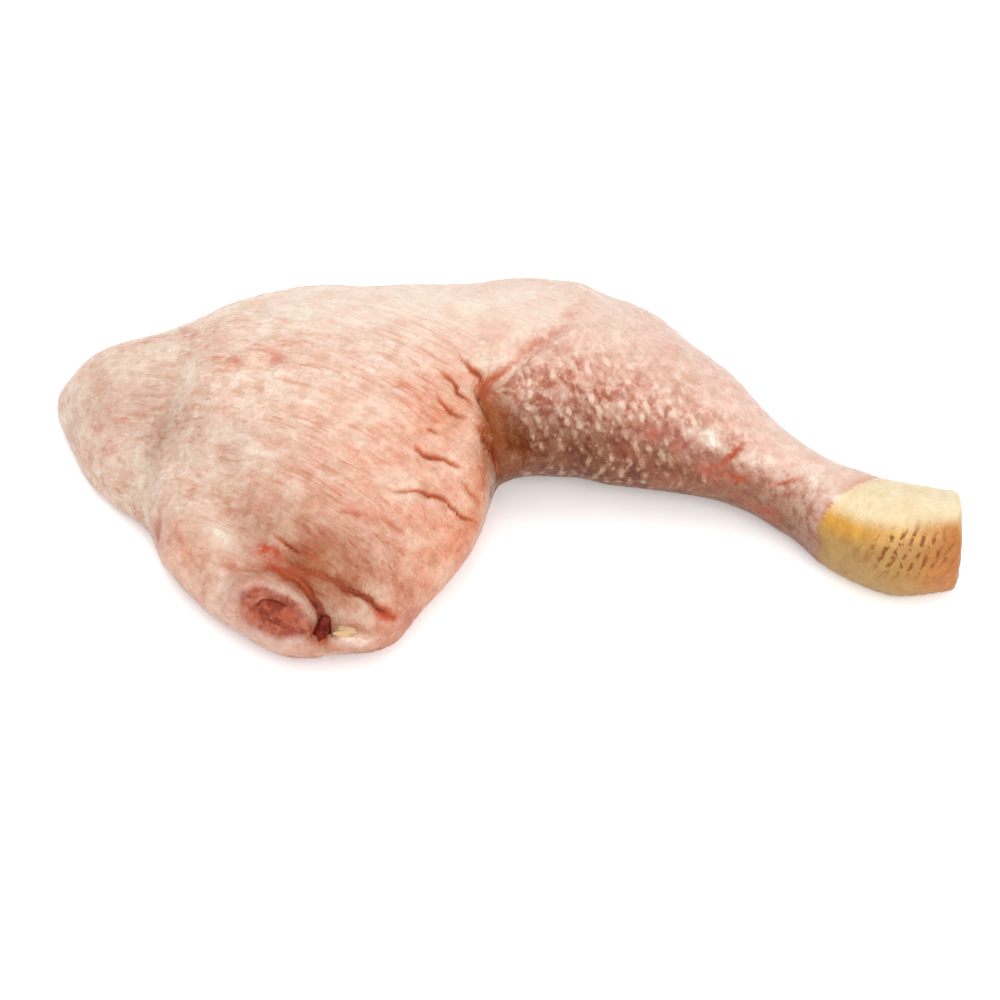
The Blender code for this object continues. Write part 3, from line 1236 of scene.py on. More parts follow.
        # Painted shade: grey on drooping slopes and in valleys, warm low down, and orange on the side walls,
        # that one partly painted shade.
        tints = {Mask.SHADE: self.grey_shade_tint, Mask.WARM: self.warm_shade_tint, Mask.GLOW: self.orange_shade_tint}
        for mask, tint in tints.items():
            colour = wiring.tinted(wiring.times(masks[mask], uneven), colour, tint)
        strands = wiring.noise(wiring.stretched(skin.flow, self.strand_stretch), 1.0, 4.0, 1.0)
        strands = wiring.times(wiring.step(strands, 0.50, 0.66, 0.0, 0.85), calm)
        strands = wiring.times(strands, wiring.step(clouds, 0.0, 1.0, 0.3, 1.0))
        colour = wiring.tinted(strands, colour, self.streak_tint)
        # Painted shade: brown patches low on the thigh.
        colour = wiring.tinted(wiring.times(patches, masks[Mask.WARM], 0.4), colour, self.brown_shade_tint)
        return wiring.tinted(wiring.times(skin.crumbs, 0.65), colour, self.speckle_tint)

    def _drumstick(self, skin: SkinInputs) -> Socket:
        """Pinkish skin with pale dots, whose painted highlights lie on their tops, a painted red-brown shadow
        below each dot and painted brown shade low on the side.

        Args:
            skin: What the finish reads.

        Returns:
            The colour's socket.
        """
        wiring, masks, crumbs = skin.wiring, skin.masks, skin.crumbs
        clouds = self.drum_clouds.on(wiring, skin.place)
        colour = wiring.mix(clouds, DRUM_PINK, self.drum_pink)
        grains = self.drum_grains.on(wiring, skin.place)
        colour = wiring.mix(wiring.times(grains, 0.5), colour, self.tan)
        flecks = self.drum_flecks.on(wiring, skin.place)
        # Flecks, more of them where the painted shade lies low on the side.
        colour = wiring.mix(wiring.times(flecks, skin.warm_shade(0.2, 0.85)), colour, self.fleck)
        colour = wiring.tinted(wiring.times(crumbs, 0.5), colour, self.speckle_tint)
        stains = self.drum_stains.on(wiring, skin.place)
        # Stains, darker where the painted shade lies low on the side.
        colour = wiring.tinted(wiring.times(stains, masks[Mask.WARM]), colour, self.stain_tint)
        # Painted shadow below each dot.
        dot_shadow_and_ticks = wiring.times(masks[Mask.HOLLOW], wiring.step(clouds, 0.0, 1.0, 0.55, 1.0))
        colour = wiring.tinted(dot_shadow_and_ticks, colour, self.dot_shadow_tint)
        # Painted highlight on each dot's upper side.
        lit_tips = wiring.step(masks[Mask.CREST], 0.15, 0.7)
        lit_tips = wiring.times(lit_tips, wiring.step(crumbs, 0.0, 1.0, 0.95, 0.45))
        colour = wiring.mix(wiring.times(lit_tips, 0.85), colour, self.dot)
        beside_lit_tips = wiring.math("SUBTRACT", 1.0, wiring.times(lit_tips, 0.4))
        # Painted shade low on the side.
        return wiring.tinted(wiring.times(masks[Mask.SHADE], beside_lit_tips), colour, self.shade_tint)

    def _hock(self, skin: SkinInputs) -> Socket:
        """Yellow skin: cream on top, gold in a band and tan low down, which are painted light and shade by
        slope, orange near the cut, partly painted shade, and brown ticks.

        Args:
            skin: What the finish reads.

        Returns:
            The colour's socket.
        """
        wiring, masks = skin.wiring, skin.masks
        clouds = self.hock_clouds.on(wiring, skin.place)
        colour = wiring.mix(wiring.times(clouds, 0.25), self.hock_light, self.hock_gold)
        # Painted shade by slope: gold in a band, tan low down, then orange near the cut, partly painted
        # shade.
        colour = wiring.mix(masks[Mask.WARM], colour, self.hock_gold)
        colour = wiring.mix(masks[Mask.SHADE], colour, self.hock_low_shade)
        colour = wiring.mix(masks[Mask.GLOW], colour, self.hock_orange_shade)
        # Scale stains, stronger where the painted shade lies.
        colour = wiring.tinted(wiring.times(skin.crumbs, skin.warm_shade(0.2, 0.5)), colour, self.scale_tint)
        return wiring.mix(wiring.times(self._ticks(skin), masks[Mask.HOLLOW]), colour, self.tick)

    def _ticks(self, skin: SkinInputs) -> Socket:
        """Short slanted marks: the crests of wavy bands, broken by a noise.

        Args:
            skin: What the finish reads.

        Returns:
            The marks' socket, from 0 to 1.
        """
        wiring = skin.wiring
        slanted = wiring.node("ShaderNodeMapping")
        wiring.feed(slanted.inputs["Vector"], skin.place)
        slanted.inputs["Rotation"].default_value = (0.0, math.radians(self.tick_slant), 0.0)
        bands = wiring.node("ShaderNodeTexWave", wave_type="BANDS", bands_direction="X")
        wiring.feed(bands.inputs["Vector"], slanted.outputs[0])
        wiring.feed(bands.inputs["Scale"], self.tick_scale)
        wiring.feed(bands.inputs["Distortion"], self.tick_distortion)
        wiring.feed(bands.inputs["Detail"], self.tick_detail)
        wiring.feed(bands.inputs["Detail Scale"], self.tick_detail_scale)
        broken = wiring.step(wiring.noise(skin.place, self.tick_gap_scale, 1.0), 0.40, 0.58)
        return wiring.times(wiring.step(bands.outputs["Fac"], 0.38, 0.9), broken)

    def _lines(self, skin: SkinInputs, colour: Socket) -> Socket:
        """Thin dark lines in an orange halo, ragged at their edges; the strongest have a dark core.

        Args:
            skin: What the finish reads.
            colour: The colour that they lie on.

        Returns:
            The colour's socket.
        """
        wiring, strength = skin.wiring, skin.masks[Mask.LINE]
        ragged = wiring.times(wiring.math("SUBTRACT", skin.crumbs, 0.5), 0.5)
        away = wiring.math("ABSOLUTE", wiring.math("ADD", skin.masks[Mask.SIDE], ragged))
        halo = wiring.times(wiring.step(away, 0.6, 1.7, 0.8, 0.0), wiring.step(strength, 0.05, 0.7))
        colour = wiring.tinted(halo, colour, self.halo_tint)
        uneven = wiring.step(skin.crumbs, 0.0, 1.0, 0.55, 1.0)
        core = wiring.times(wiring.step(away, 0.30, 0.80, 1.0, 0.0), uneven)
        colour = wiring.mix(wiring.times(core, wiring.step(strength, 0.15, 0.9)), colour, self.line)
        return wiring.mix(wiring.times(core, wiring.step(strength, 0.7, 1.25)), colour, self.deep)

    def _flesh(self, skin: SkinInputs) -> Socket:
        """Bare meat under the thigh, in the cut and at the hip: rose, with dark and pale patches.

        Args:
            skin: What the finish reads.

        Returns:
            The colour's socket.
        """
        wiring = skin.wiring
        colour = wiring.mix(self.flesh_patches.on(wiring, skin.place), self.flesh, self.flesh_dark)
        return wiring.mix(wiring.times(skin.crumbs, 0.35), colour, self.flesh_pale)


@dataclass(frozen=True)
class MeatFinish(Finish):
    """Wet dark red muscle with paler fibres."""

    gloss: float = 0.12
    coat: float = 0.0
    dark: Colour = seen(104, 28, 4)
    light: Colour = seen(138, 52, 24)
    fibre_stretch: tuple[float, float, float] = (420.0, 620.0, 620.0)
    fibre_depth: float = 0.0005

    def look(self, wiring: Wiring, place: Socket) -> tuple[Socket, Socket, Socket]:
        """Mixes dark and light red by a noise drawn out into fibres.

        Args:
            wiring: Wiring of the material.
            place: Object coordinates.

        Returns:
            The sockets of colour, roughness and normal.
        """
        fibres = wiring.noise(wiring.stretched(place, self.fibre_stretch), 1.0, 3.0, 0.9)
        colour = wiring.mix(wiring.step(fibres, 0.35, 0.7), self.dark, self.light)
        roughness = MOISTURE.placed(wiring, Place=place, Roughness=0.28, Change=0.25)
        return colour, roughness, wiring.bump(fibres, 0.5, self.fibre_depth)


@dataclass(frozen=True)
class SoftFinish(Finish):
    """Fat or gristle: one colour clouded into another and stained by a third, over small lumps."""

    main: Colour = seen(216, 184, 144)
    second: Colour = seen(200, 158, 108)
    stain: Colour = seen(186, 128, 94)
    clouds: Clouds = Clouds(240.0, 0.50, 4.0)
    stains: Clouds = Clouds(170.0, 0.56, 6.0)
    stain_share: float = 0.6
    roughness: float = 0.34
    change: float = 0.2
    lump_scale: float = 700.0
    lump_strength: float = 0.5
    lump_depth: float = 0.0004

    def look(self, wiring: Wiring, place: Socket) -> tuple[Socket, Socket, Socket]:
        """Mixes the first two colours in clouds, then the third in stains, over small lumps.

        Args:
            wiring: Wiring of the material.
            place: Object coordinates.

        Returns:
            The sockets of colour, roughness and normal.
        """
        colour = wiring.mix(self.clouds.on(wiring, place), self.main, self.second)
        stains = wiring.times(self.stains.on(wiring, place), self.stain_share)
        colour = wiring.mix(stains, colour, self.stain)
        lumps = GRAIN.placed(wiring, Place=place, Scale=self.lump_scale)
        roughness = MOISTURE.placed(wiring, Place=place, Roughness=self.roughness, Change=self.change)
        return colour, roughness, wiring.bump(lumps, self.lump_strength, self.lump_depth)


SKIN = SkinFinish("raw_skin")
MEAT = MeatFinish("raw_meat")
FAT = SoftFinish("fat")
KNUCKLE = SoftFinish(
    "hip_knuckle",
    main=seen(196, 116, 90),
    second=seen(176, 90, 64),
    stain=seen(134, 52, 34),
    clouds=Clouds(260.0, 0.42, 5.0),
    stains=Clouds(210.0, 0.50, 7.0),
    stain_share=0.85,
    roughness=0.32,
    lump_scale=800.0,
    lump_strength=0.4,
    lump_depth=0.0003,
)
GRISTLE = SoftFinish(
    "gristle",
    main=seen(228, 204, 180),
    second=seen(206, 188, 178),
    stain=seen(204, 138, 116),
    clouds=Clouds(160.0, 0.50, 3.0),
    stains=Clouds(210.0, 0.52, 5.0),
    stain_share=0.75,
    roughness=0.22,
    change=0.15,
    lump_scale=500.0,
    lump_strength=0.2,
    lump_depth=0.0002,
)


@dataclass(frozen=True)
class Viewpoint:
    """Where the photograph was taken from, and where its picture shows a place of the leg."""

    target: tuple[float, float, float] = (-0.3, 3.4, 0.0)
    elevation: float = 45.0
    roll: float = 0.8
    distance: float = 1300.0
    pixels_per_mm: float = 3.67
    photo_width: int = 1000
    table_pixels: float = 3.7
    table_drop: float = 35.0

    def towards(self) -> Array:
        """Direction from the target to the camera."""
        tilt = math.radians(self.elevation)
        return np.array([0.0, -math.cos(tilt), math.sin(tilt)])

    def picture(self, points: Array) -> tuple[Array, Array]:
        """Where the picture shows places: their offsets on the view's plane, made larger the nearer they are.

        Args:
            points: Places in the frame, in mm.

        Returns:
            The distances across and up the picture in steps of table_pixels, from a point table_drop pixels
            above the picture's middle.
        """
        offsets = points - np.array(self.target)
        tilt, roll = math.radians(self.elevation), math.radians(self.roll)
        right = offsets[..., 0]
        up = offsets @ np.array([0.0, math.sin(tilt), math.cos(tilt)])
        pixels = self.pixels_per_mm * self.distance / (self.distance - offsets @ self.towards())
        across = pixels * (right * math.cos(roll) + up * math.sin(roll))
        height = pixels * (up * math.cos(roll) - right * math.sin(roll))
        return across / self.table_pixels, (height - self.table_drop) / self.table_pixels


@dataclass
class LegSkin:
    """The skin of the whole leg: the loft with its bulges, folds, follicles and scales.

    The bulges, the folds and the broad places lie in plan. The lines and the spots lie as the camera sees
    them, each place given by the viewpoint's distances across and up the picture.
    """

    form: LegForm
    view: Viewpoint = Viewpoint()
    rows: int = 345
    rump_rows: int = 16
    edge_rows: int = 5
    over: int = 212
    under: int = 40
    bulges: tuple[Bulge, ...] = (
        Bulge((-104.0, 6.0), (15.0, 12.0), 0.0, 2.0),
        Bulge((-81.0, -49.0), (13.0, 8.0), -42.0, 2.6),
        Bulge((-70.0, -59.0), (10.0, 6.5), -42.0, 1.8),
        Bulge((-36.0, -12.0), (26.0, 20.0), -20.0, 1.2),
        Bulge((-57.6, -75.6), (9.0, 3.8), -33.0, -3.4),
        Bulge((-44.0, -82.0), (3.0, 4.6), -10.0, -4.0),
        Bulge((-38.6, -81.4), (3.4, 3.0), 0.0, 2.0),
        Bulge((-92.0, -42.0), (4.5, 6.0), 0.0, -2.6),
        Bulge((-6.0, -44.0), (9.0, 13.0), 0.0, 2.2),
        Bulge((-2.0, -23.0), (4.5, 5.0), 0.0, 1.4),
        Bulge((64.0, 0.0), (16.0, 9.0), -45.0, 1.5),
        Bulge((8.0, 30.0), (18.0, 14.0), 0.0, -0.9),
    )
    folds: tuple[Fold, ...] = (
        Fold(((-86.0, 24.0), (-87.0, 6.0), (-91.0, -10.0), (-96.0, -24.0)), 8.0, (1.0, 2.4, 2.6, 0.8)),
        Fold(
            ((-78.0, -38.0), (-69.0, -50.0), (-60.0, -59.5), (-51.5, -68.5), (-45.8, -76.0), (-44.0, -85.0)),
            3.8,
            (0.6, 2.2, 3.2, 3.2, 3.4, 3.6),
        ),
        Fold(
            ((-69.5, -72.0), (-65.0, -68.2), (-59.5, -68.6), (-54.7, -71.2), (-50.6, -74.8), (-47.6, -79.5)),
            2.4,
            (-1.2, -2.6, -3.0, -3.0, -2.6, -1.2),
        ),
        Fold(((-48.5, -67.0), (-42.2, -70.2), (-34.5, -73.4), (-27.7, -76.8)), 2.0, (0.5, 1.2, 1.2, 0.4)),
        Fold(
            ((6.6, -27.0), (4.2, -21.5), (1.2, -17.6), (-3.8, -13.0), (-8.2, -7.0)),
            3.8,
            (3.8, 4.6, 4.4, 2.4, 0.4),
        ),
        Fold(((-2.8, -12.6), (5.0, -5.0), (13.5, 2.5), (22.0, 10.9)), 2.2, (2.0, 1.2, 0.7, 0.2)),
        Fold(((66.0, -24.0), (78.0, -24.5), (88.0, -35.0)), 2.6, (0.3, 0.8, 0.4)),
    )
    lines: tuple[Fold, ...] = (
        Fold(((-10.3, 28.9), (-8.1, 26.8), (-5.9, 24.6), (-3.8, 20.3)), 0.8, (0.4, 0.8, 1.0, 0.8)),
        Fold(((-15.1, 24.6), (-12.4, 22.4), (-10.8, 19.7), (-8.1, 17.0)), 0.75, (0.5, 0.9, 1.0, 0.5)),
        Fold(((-17.6, 19.7), (-15.7, 17.0), (-13.0, 14.9), (-10.3, 13.0)), 0.65, (0.3, 0.7, 0.9, 0.5)),
        Fold(((-18.6, 10.0), (-15.7, 8.4)), 0.8, (0.6, 0.3)),
        Fold(((-22.7, 4.6), (-20.0, 3.0), (-16.2, 2.2), (-11.9, -0.3)), 0.75, (0.6, 1.0, 0.9, 0.6)),
        Fold(
            (
                (-30.3, -6.5), (-27.0, -7.0), (-23.2, -7.0), (-19.5, -8.1),
                (-15.7, -8.9), (-13.0, -11.6), (-9.7, -14.3), (-7.0, -15.7),
            ),
            0.7,
            (0.4, 0.5, 0.6, 1.0, 0.9, 0.9, 0.9, 0.4),
        ),
        Fold(((-10.8, -3.5), (-8.1, -6.8), (-5.9, -10.3)), 0.8, (0.3, 0.6, 0.5)),
        Fold(((-42.2, -12.2), (-38.4, -13.2)), 0.9, (0.5, 0.4)),
        Fold(((-33.8, -13.5), (-29.7, -15.4), (-26.5, -17.6)), 0.8, (0.3, 0.5, 0.3)),
        Fold(((-28.6, 21.9), (-24.3, 21.4)), 1.0, (0.35, 0.35)),
        Fold(
            ((-60.5, -19.7), (-56.8, -21.9), (-53.0, -23.8), (-49.2, -25.7), (-45.9, -27.3)),
            0.8,
            (0.5, 1.2, 0.9, 0.5, 0.2),
        ),
        Fold(
            (
                (-57.8, -25.7), (-53.0, -28.4), (-46.5, -30.5), (-42.2, -33.2),
                (-35.7, -35.9), (-32.4, -38.9), (-29.2, -41.4),
            ),
            0.9,
            (0.3, 0.7, 0.9, 1.1, 1.2, 1.2, 0.8),
        ),
        Fold(
            (
                (-64.9, -26.2), (-59.5, -28.9), (-55.1, -30.5), (-52.4, -33.2),
                (-49.7, -37.6), (-48.1, -41.4), (-48.1, -45.1),
            ),
            1.1,
            (0.2, 0.6, 0.7, 0.9, 1.3, 1.5, 1.5),
        ),
        Fold(((-5.6, 9.9), (-3.2, 6.2), (-1.1, 2.6), (-0.2, -1.0)), 0.9, (0.8, 1.2, 1.2, 0.9)),
        Fold(
            ((-4.6, 19.4), (-3.6, 22.0), (1.4, 25.7), (5.9, 29.7), (13.5, 34.9), (21.1, 40.3)),
            1.1,
            (0.9, 0.8, 0.55, 0.38, 0.28, 0.1),
        ),
        Fold(((65.9, 5.7), (63.2, 3.5), (60.0, 0.8)), 0.8, (0.4, 0.7, 0.5)),
        Fold(((62.7, -3.0), (65.9, -4.6)), 0.8, (0.5, 0.6)),
        Fold(((73.0, -6.2), (77.3, -4.6), (81.6, -3.5)), 0.8, (0.2, 0.5, 0.2)),
        Fold(((69.7, -12.2), (72.4, -13.0), (75.1, -13.8)), 0.8, (0.4, 0.5, 0.3)),
    )
    blushes: tuple[Bulge, ...] = (
        Bulge((-62.2, -23.4), (3.4, 1.8), -14.0, 1.4),
        Bulge((-60.0, -28.4), (6.6, 2.0), -22.0, 0.9),
        Bulge((62.7, 2.8), (3.6, 1.1), 38.0, 0.9),
        Bulge((63.8, -3.2), (2.8, 1.4), -15.0, 0.9),
        Bulge((56.4, -1.0), (3.4, 1.8), -10.0, 0.6),
        Bulge((77.1, -4.4), (4.6, 0.8), 22.0, 0.6),
        Bulge((72.0, -12.6), (3.0, 1.2), -15.0, 0.6),
        Bulge((41.5, 8.0), (2.2, 1.6), 30.0, 0.45),
        Bulge((36.0, 14.0), (1.6, 2.4), 30.0, 0.35),
        Bulge((-60.0, 28.4), (2.6, 1.6), 0.0, 0.5),
        Bulge((-71.6, 28.4), (1.8, 1.2), 0.0, 0.4),
        Bulge((-84.9, 36.5), (2.4, 1.6), 0.0, 0.45),
        Bulge((-108.6, 10.0), (3.0, 0.9), 0.0, 0.45),
        Bulge((-101.4, 12.2), (3.0, 0.8), 0.0, 0.4),
        Bulge((-105.4, 3.5), (4.0, 1.6), 0.0, 0.3),
        Bulge((-30.8, -40.4), (3.2, 1.8), -32.0, 1.6),
        Bulge((0.0, 25.1), (2.4, 1.4), 40.0, 0.5),
        Bulge((9.5, 33.0), (9.0, 2.2), 38.0, 0.42),
        Bulge((19.0, 39.5), (7.0, 1.8), 45.0, 0.38),
    )
    # Mostly painted shade in the knee's crook and the hip's gaps; a few are brown patches of the skin.
    brown_shades: tuple[Bulge, ...] = (
        Bulge((-2.4, 9.6), (3.4, 9.0), 0.0, 1.25),
        Bulge((3.0, 4.4), (6.6, 7.4), 0.0, 0.42),
        Bulge((-2.6, 20.6), (3.0, 4.0), 0.0, 0.35),
        Bulge((1.4, 17.0), (4.2, 3.6), 0.0, 0.3),
        Bulge((-44.4, -37.6), (5.0, 3.0), -30.0, 0.22),
        Bulge((-40.2, -44.4), (2.6, 1.0), -25.0, 0.6),
        Bulge((-37.6, -44.2), (2.6, 0.8), -30.0, 0.6),
        Bulge((-47.8, -44.5), (2.8, 3.6), 0.0, 1.1),
        Bulge((-50.0, -47.2), (2.6, 1.4), 0.0, 0.7),
        Bulge((-57.0, -30.0), (6.0, 2.0), -35.0, 0.55),
        Bulge((-79.2, -29.2), (5.5, 2.6), -35.0, 0.08),
        Bulge((-53.0, -26.0), (6.0, 2.0), -40.0, 0.2),
        Bulge((-68.1, -38.1), (2.0, 1.6), 0.0, 0.25),
    )
    raw_places: tuple[Bulge, ...] = (
        Bulge((-61.2, -39.8), (8.0, 4.6), -28.0, 3.6),
        Bulge((-52.0, -44.0), (3.4, 1.6), -30.0, 0.8),
        Bulge((27.3, 21.2), (0.9, 2.0), -20.0, 0.5),
        Bulge((33.4, 18.9), (2.6, 0.9), 10.0, 0.55),
        Bulge((45.6, 10.4), (2.4, 1.5), -20.0, 0.45),
        Bulge((66.4, -9.8), (4.4, 1.5), -35.0, 0.5),
        Bulge((73.0, -15.6), (4.0, 1.2), -35.0, 0.4),
        Bulge((40.0, 9.5), (4.5, 1.8), -15.0, 0.5),
        Bulge((47.8, 4.9), (1.2, 3.2), 0.0, 0.8),
        Bulge((35.9, 3.2), (5.0, 2.2), -20.0, 0.3),
        Bulge((52.7, 5.4), (2.2, 1.8), 0.0, 0.4),
        Bulge((58.1, -3.5), (3.0, 2.0), -20.0, 0.45),
        Bulge((45.9, -4.1), (6.0, 1.6), -15.0, 0.35),
        Bulge((65.7, -3.8), (2.8, 1.0), -10.0, 0.4),
    )
    tick_places: tuple[Bulge, ...] = (Bulge((111.4, -23.6), (9.6, 5.2), 0.0, 2.2),)
    # Painted highlights: on the thigh's top, on ridges, on the hip's rim and on the drumstick.
    painted_highlights: tuple[Bulge | Fold, ...] = (
        Bulge((-25.0, 44.0), (50.0, 7.0), 0.0, 0.6),
        Bulge((-76.2, -18.9), (5.0, 3.0), -30.0, 0.8),
        Bulge((-65.4, 3.5), (4.5, 1.0), 0.0, 0.7),
        Bulge((-70.3, 7.6), (3.5, 0.9), 0.0, 0.5),
        Bulge((56.2, 6.2), (3.6, 1.3), -25.0, 0.9),
        Bulge((68.1, 0.8), (2.4, 1.4), -35.0, 0.9),
        Bulge((90.8, -8.6), (1.8, 1.2), 0.0, 0.9),
        Bulge((51.4, 9.2), (2.0, 1.0), -25.0, 0.7),
        Bulge((56.5, 8.6), (2.6, 1.6), 0.0, 0.8),
        Bulge((72.0, 2.0), (3.0, 1.6), -20.0, 0.7),
        Bulge((84.0, -3.0), (3.0, 2.0), -30.0, 0.8),
        Bulge((-38.9, -47.8), (6.0, 1.8), 0.0, 0.7),
        Bulge((5.0, 44.6), (14.0, 6.0), 0.0, 0.15),
        Fold(
            (
                (-70.8, -36.5), (-69.5, -33.8), (-66.2, -32.2), (-62.7, -32.7),
                (-58.9, -34.3), (-55.4, -36.5), (-52.7, -38.9), (-50.0, -41.6),
            ),
            1.1,
            (-0.3, -0.5, -0.6, -0.7, -0.8, -0.8, -0.8, -0.5),
        ),
        Fold(((-68.4, -44.1), (-64.3, -46.5), (-58.1, -47.8), (-51.9, -47.3)), 1.3, (-0.3, -0.5, -0.5, -0.4)),
    )
    follicles: Dots = Dots(pitch=4.3, radius=0.95, jitter=0.24, seed=7, stretch=1.9)
    goose_bumps: Dots = Dots(pitch=5.2, radius=1.5, jitter=0.3, seed=11)
    follicle_height: float = 0.85
    grit: Dots = Dots(pitch=2.3, radius=0.7, jitter=0.34, seed=17)
    goose_bump_height: float = 0.10
    grit_height: float = 0.22
    line_depth: float = 1.0
    line_reach: float = 1.9
    scale_pitch: float = 3.2
    knee_edge: Path = ((-30.0, -20.0), (-12.0, -2.1), (2.5, 13.5), (10.9, 22.0), (23.2, 25.9), (45.0, 28.0))
    flow_centre: tuple[float, float] = (-122.0, -150.0)
    flow_radius: float = 150.0
    # How far the dots' painted highlights and shadows lie up and down from each dot.
    tip_shift: float = 0.5
    # Painted shade low on the thigh.
    warm_shade_places: tuple[Bulge, ...] = (
        Bulge((-46.0, -66.0), (30.0, 14.0), -32.0, 0.95),
        Bulge((-66.0, -46.0), (14.0, 7.0), -42.0, 0.35),
    )
    # Orange on the thigh's lower and side skin: partly its own colour, partly painted shade.
    orange_shade_places: tuple[Bulge, ...] = (
        Bulge((-30.0, -48.0), (36.0, 22.0), -40.0, 0.5),
        Bulge((-34.0, -14.0), (22.0, 14.0), -20.0, 0.12),
        Bulge((-12.0, -22.0), (14.0, 18.0), 0.0, 0.7),
        Bulge((-60.0, 2.0), (9.0, 5.0), 0.0, 0.3),
        Bulge((-80.0, -54.0), (13.0, 9.0), -42.0, 0.8),
    )
    calm_places: tuple[Bulge, ...] = (
        Bulge((-110.0, 0.0), (20.0, 26.0), 0.0, 0.6),
        Bulge((8.0, 12.0), (26.0, 20.0), 30.0, 1.0),
        Bulge((-30.0, 30.0), (36.0, 12.0), 0.0, 0.7),
        Bulge((-20.0, -40.0), (20.0, 22.0), 0.0, 0.4),
    )
    # Painted shade: grey in the thigh's valleys and on the lobe.
    grey_shade_places: tuple[Bulge, ...] = (
        Bulge((-92.0, -6.0), (13.0, 24.0), 0.0, 0.7),
        Bulge((-112.0, 2.0), (14.0, 12.0), 0.0, 0.4),
        Bulge((-72.0, -26.0), (22.0, 10.0), -25.0, 0.6),
    )
    noise: Noise = field(default_factory=lambda: Noise(3))
    fan_centre: tuple[float, float] = (-1.0, -20.0)
    fan_turn: float = 26.0
    fan_depth: float = 0.4
    fan_sizes: tuple[float, float, float] = (3.4, 16.0, 1.0)
    fan_inside: Fade = Fade(5.0, 11.0)
    fan_outside: Fade = Fade(20.0, 38.0)
    groove_depth: float = 0.42
    groove_sizes: tuple[float, float, float] = (15.0, 2.8, 30.0)
    wrinkle_depth: float = 0.20
    wrinkle_sizes: tuple[float, float, float] = (9.0, 1.9, 20.0)
    past_hip: Fade = Fade(-92.0, -74.0)
    seam_depth: float = 0.30
    seam_breaks: Fade = Fade(-0.8, 0.3)
    hock_rise: float = 0.45
    hock_rise_span: Fade = Fade(80.0, 94.0)
    hock_start: float = 86.0
    hock_slope: float = 1.45
    hock_softness: Fade = Fade(-42.0, -34.0)
    hock_tip: Fade = Fade(105.0, 122.0)
    hock_end: Fade = Fade(92.0, 112.0)
    knee_softness: Fade = Fade(2.0, 18.0)
    knee_start: Fade = Fade(-4.0, 0.5)
    # Side walls that face this way get the orange, partly painted shade.
    knee_side: tuple[float, float, float] = (0.62, -0.70, -0.1)
    knee_side_turn: Fade = Fade(0.25, 0.95)
    knee_side_span: Fade = Fade(-60.0, -25.0)
    dots_start: Fade = Fade(0.0, 8.0)
    dots_end: Fade = Fade(48.0, 84.0)
    dots_turn: Fade = Fade(-0.55, 0.05)
    shank_span: Fade = Fade(34.0, 60.0)
    underside: Fade = Fade(0.75, 0.95)
    bare_start: Fade = Fade(-112.0, -100.0)
    bare_end: Fade = Fade(-12.0, 2.0)
    # These fades by slope lay the painted shade, and the hock's painted light and shade.
    thigh_droop: Fade = Fade(-0.7, 0.3)
    drum_warm_shade_droop: Fade = Fade(-0.7, 0.2)
    drum_shade_droop: Fade = Fade(-0.25, 0.95)
    hock_orange_shade_droop: Fade = Fade(-0.4, 0.3)
    hock_warm_shade_droop: Fade = Fade(-0.2, 0.2)
    hock_shade_droop: Fade = Fade(0.15, 0.6)
    above_floor: Fade = Fade(2.0, 9.0)
    just_above_floor: Fade = Fade(0.4, 3.0)
    upper_side: Fade = Fade(-0.3, 0.2)
    in_sight: Fade = Fade(0.05, 0.3)
    cut_face_rings: int = 22
    cut_rings: Path = (
        (1.0, 0.0), (0.94, -0.35), (0.88, -1.0), (0.78, -1.3), (0.5, -1.1), (0.25, -1.0), (0.08, -1.0),
    )

    def build(self, material: Material) -> Piece:
        """Works the skin out and adds it as one closed piece.

        Args:
            material: The skin's material.

        Returns:
            The skin's object.
        """
        x = self.form.rows(self.rows, self.rump_rows, self.edge_rows)
        points = self.form.base(x, self.form.around(x, self.over, self.under))
        normals = normals_of(points)
        across = self._distance_from_front(points)
        big = self._big_relief(points)
        big *= self.above_floor.of(points[..., 2]) * self.upper_side.of(normals[..., 2])
        masks = self._places(points, points + normals * big[..., None], normals)
        fine = self._fine_relief(points, normals, across, masks)
        clear = self.just_above_floor.of(points[..., 2])
        relief = big + fine * clear
        # Painted shade in the creases: how far the relief lies below its own blur.
        masks[Mask.CREASE] = np.clip((blurred(relief, 14) - relief) / 0.9, 0.0, 1.0) * clear
        points = points + normals * relief[..., None]
        values = {mask.value: value for mask, value in masks.items()}
        values["flow"] = self._flow(points) * MM
        return self._with_cut_face(points, values, material)

    def _distance_from_front(self, points: Array) -> Array:
        """Distance round each ring from its first point, in mm, as the running sum of the steps."""
        steps = np.linalg.norm(np.diff(points, axis=1), axis=-1)
        return np.concatenate([np.zeros((len(points), 1)), np.cumsum(steps, axis=1)], axis=1)

    def _big_relief(self, points: Array) -> Array:
        """The bulges and folds, added up."""
        return sum(shape.relief(points[..., 0], points[..., 1]) for shape in self.bulges + self.folds)

    def _flow(self, points: Array) -> Array:
        """Places along and across the skin's flow, in mm.

        The streaks of the thigh lie on circles round a centre beyond the hip end, so a place is the
        distance along a middle circle and the radius of its own.

        Args:
            points: Places on the skin, in mm.

        Returns:
            The places along and across the flow, with their heights.
        """
        dx, dy = points[..., 0] - self.flow_centre[0], points[..., 1] - self.flow_centre[1]
        return np.stack([np.arctan2(dx, dy) * self.flow_radius, np.hypot(dx, dy), points[..., 2]], axis=-1)

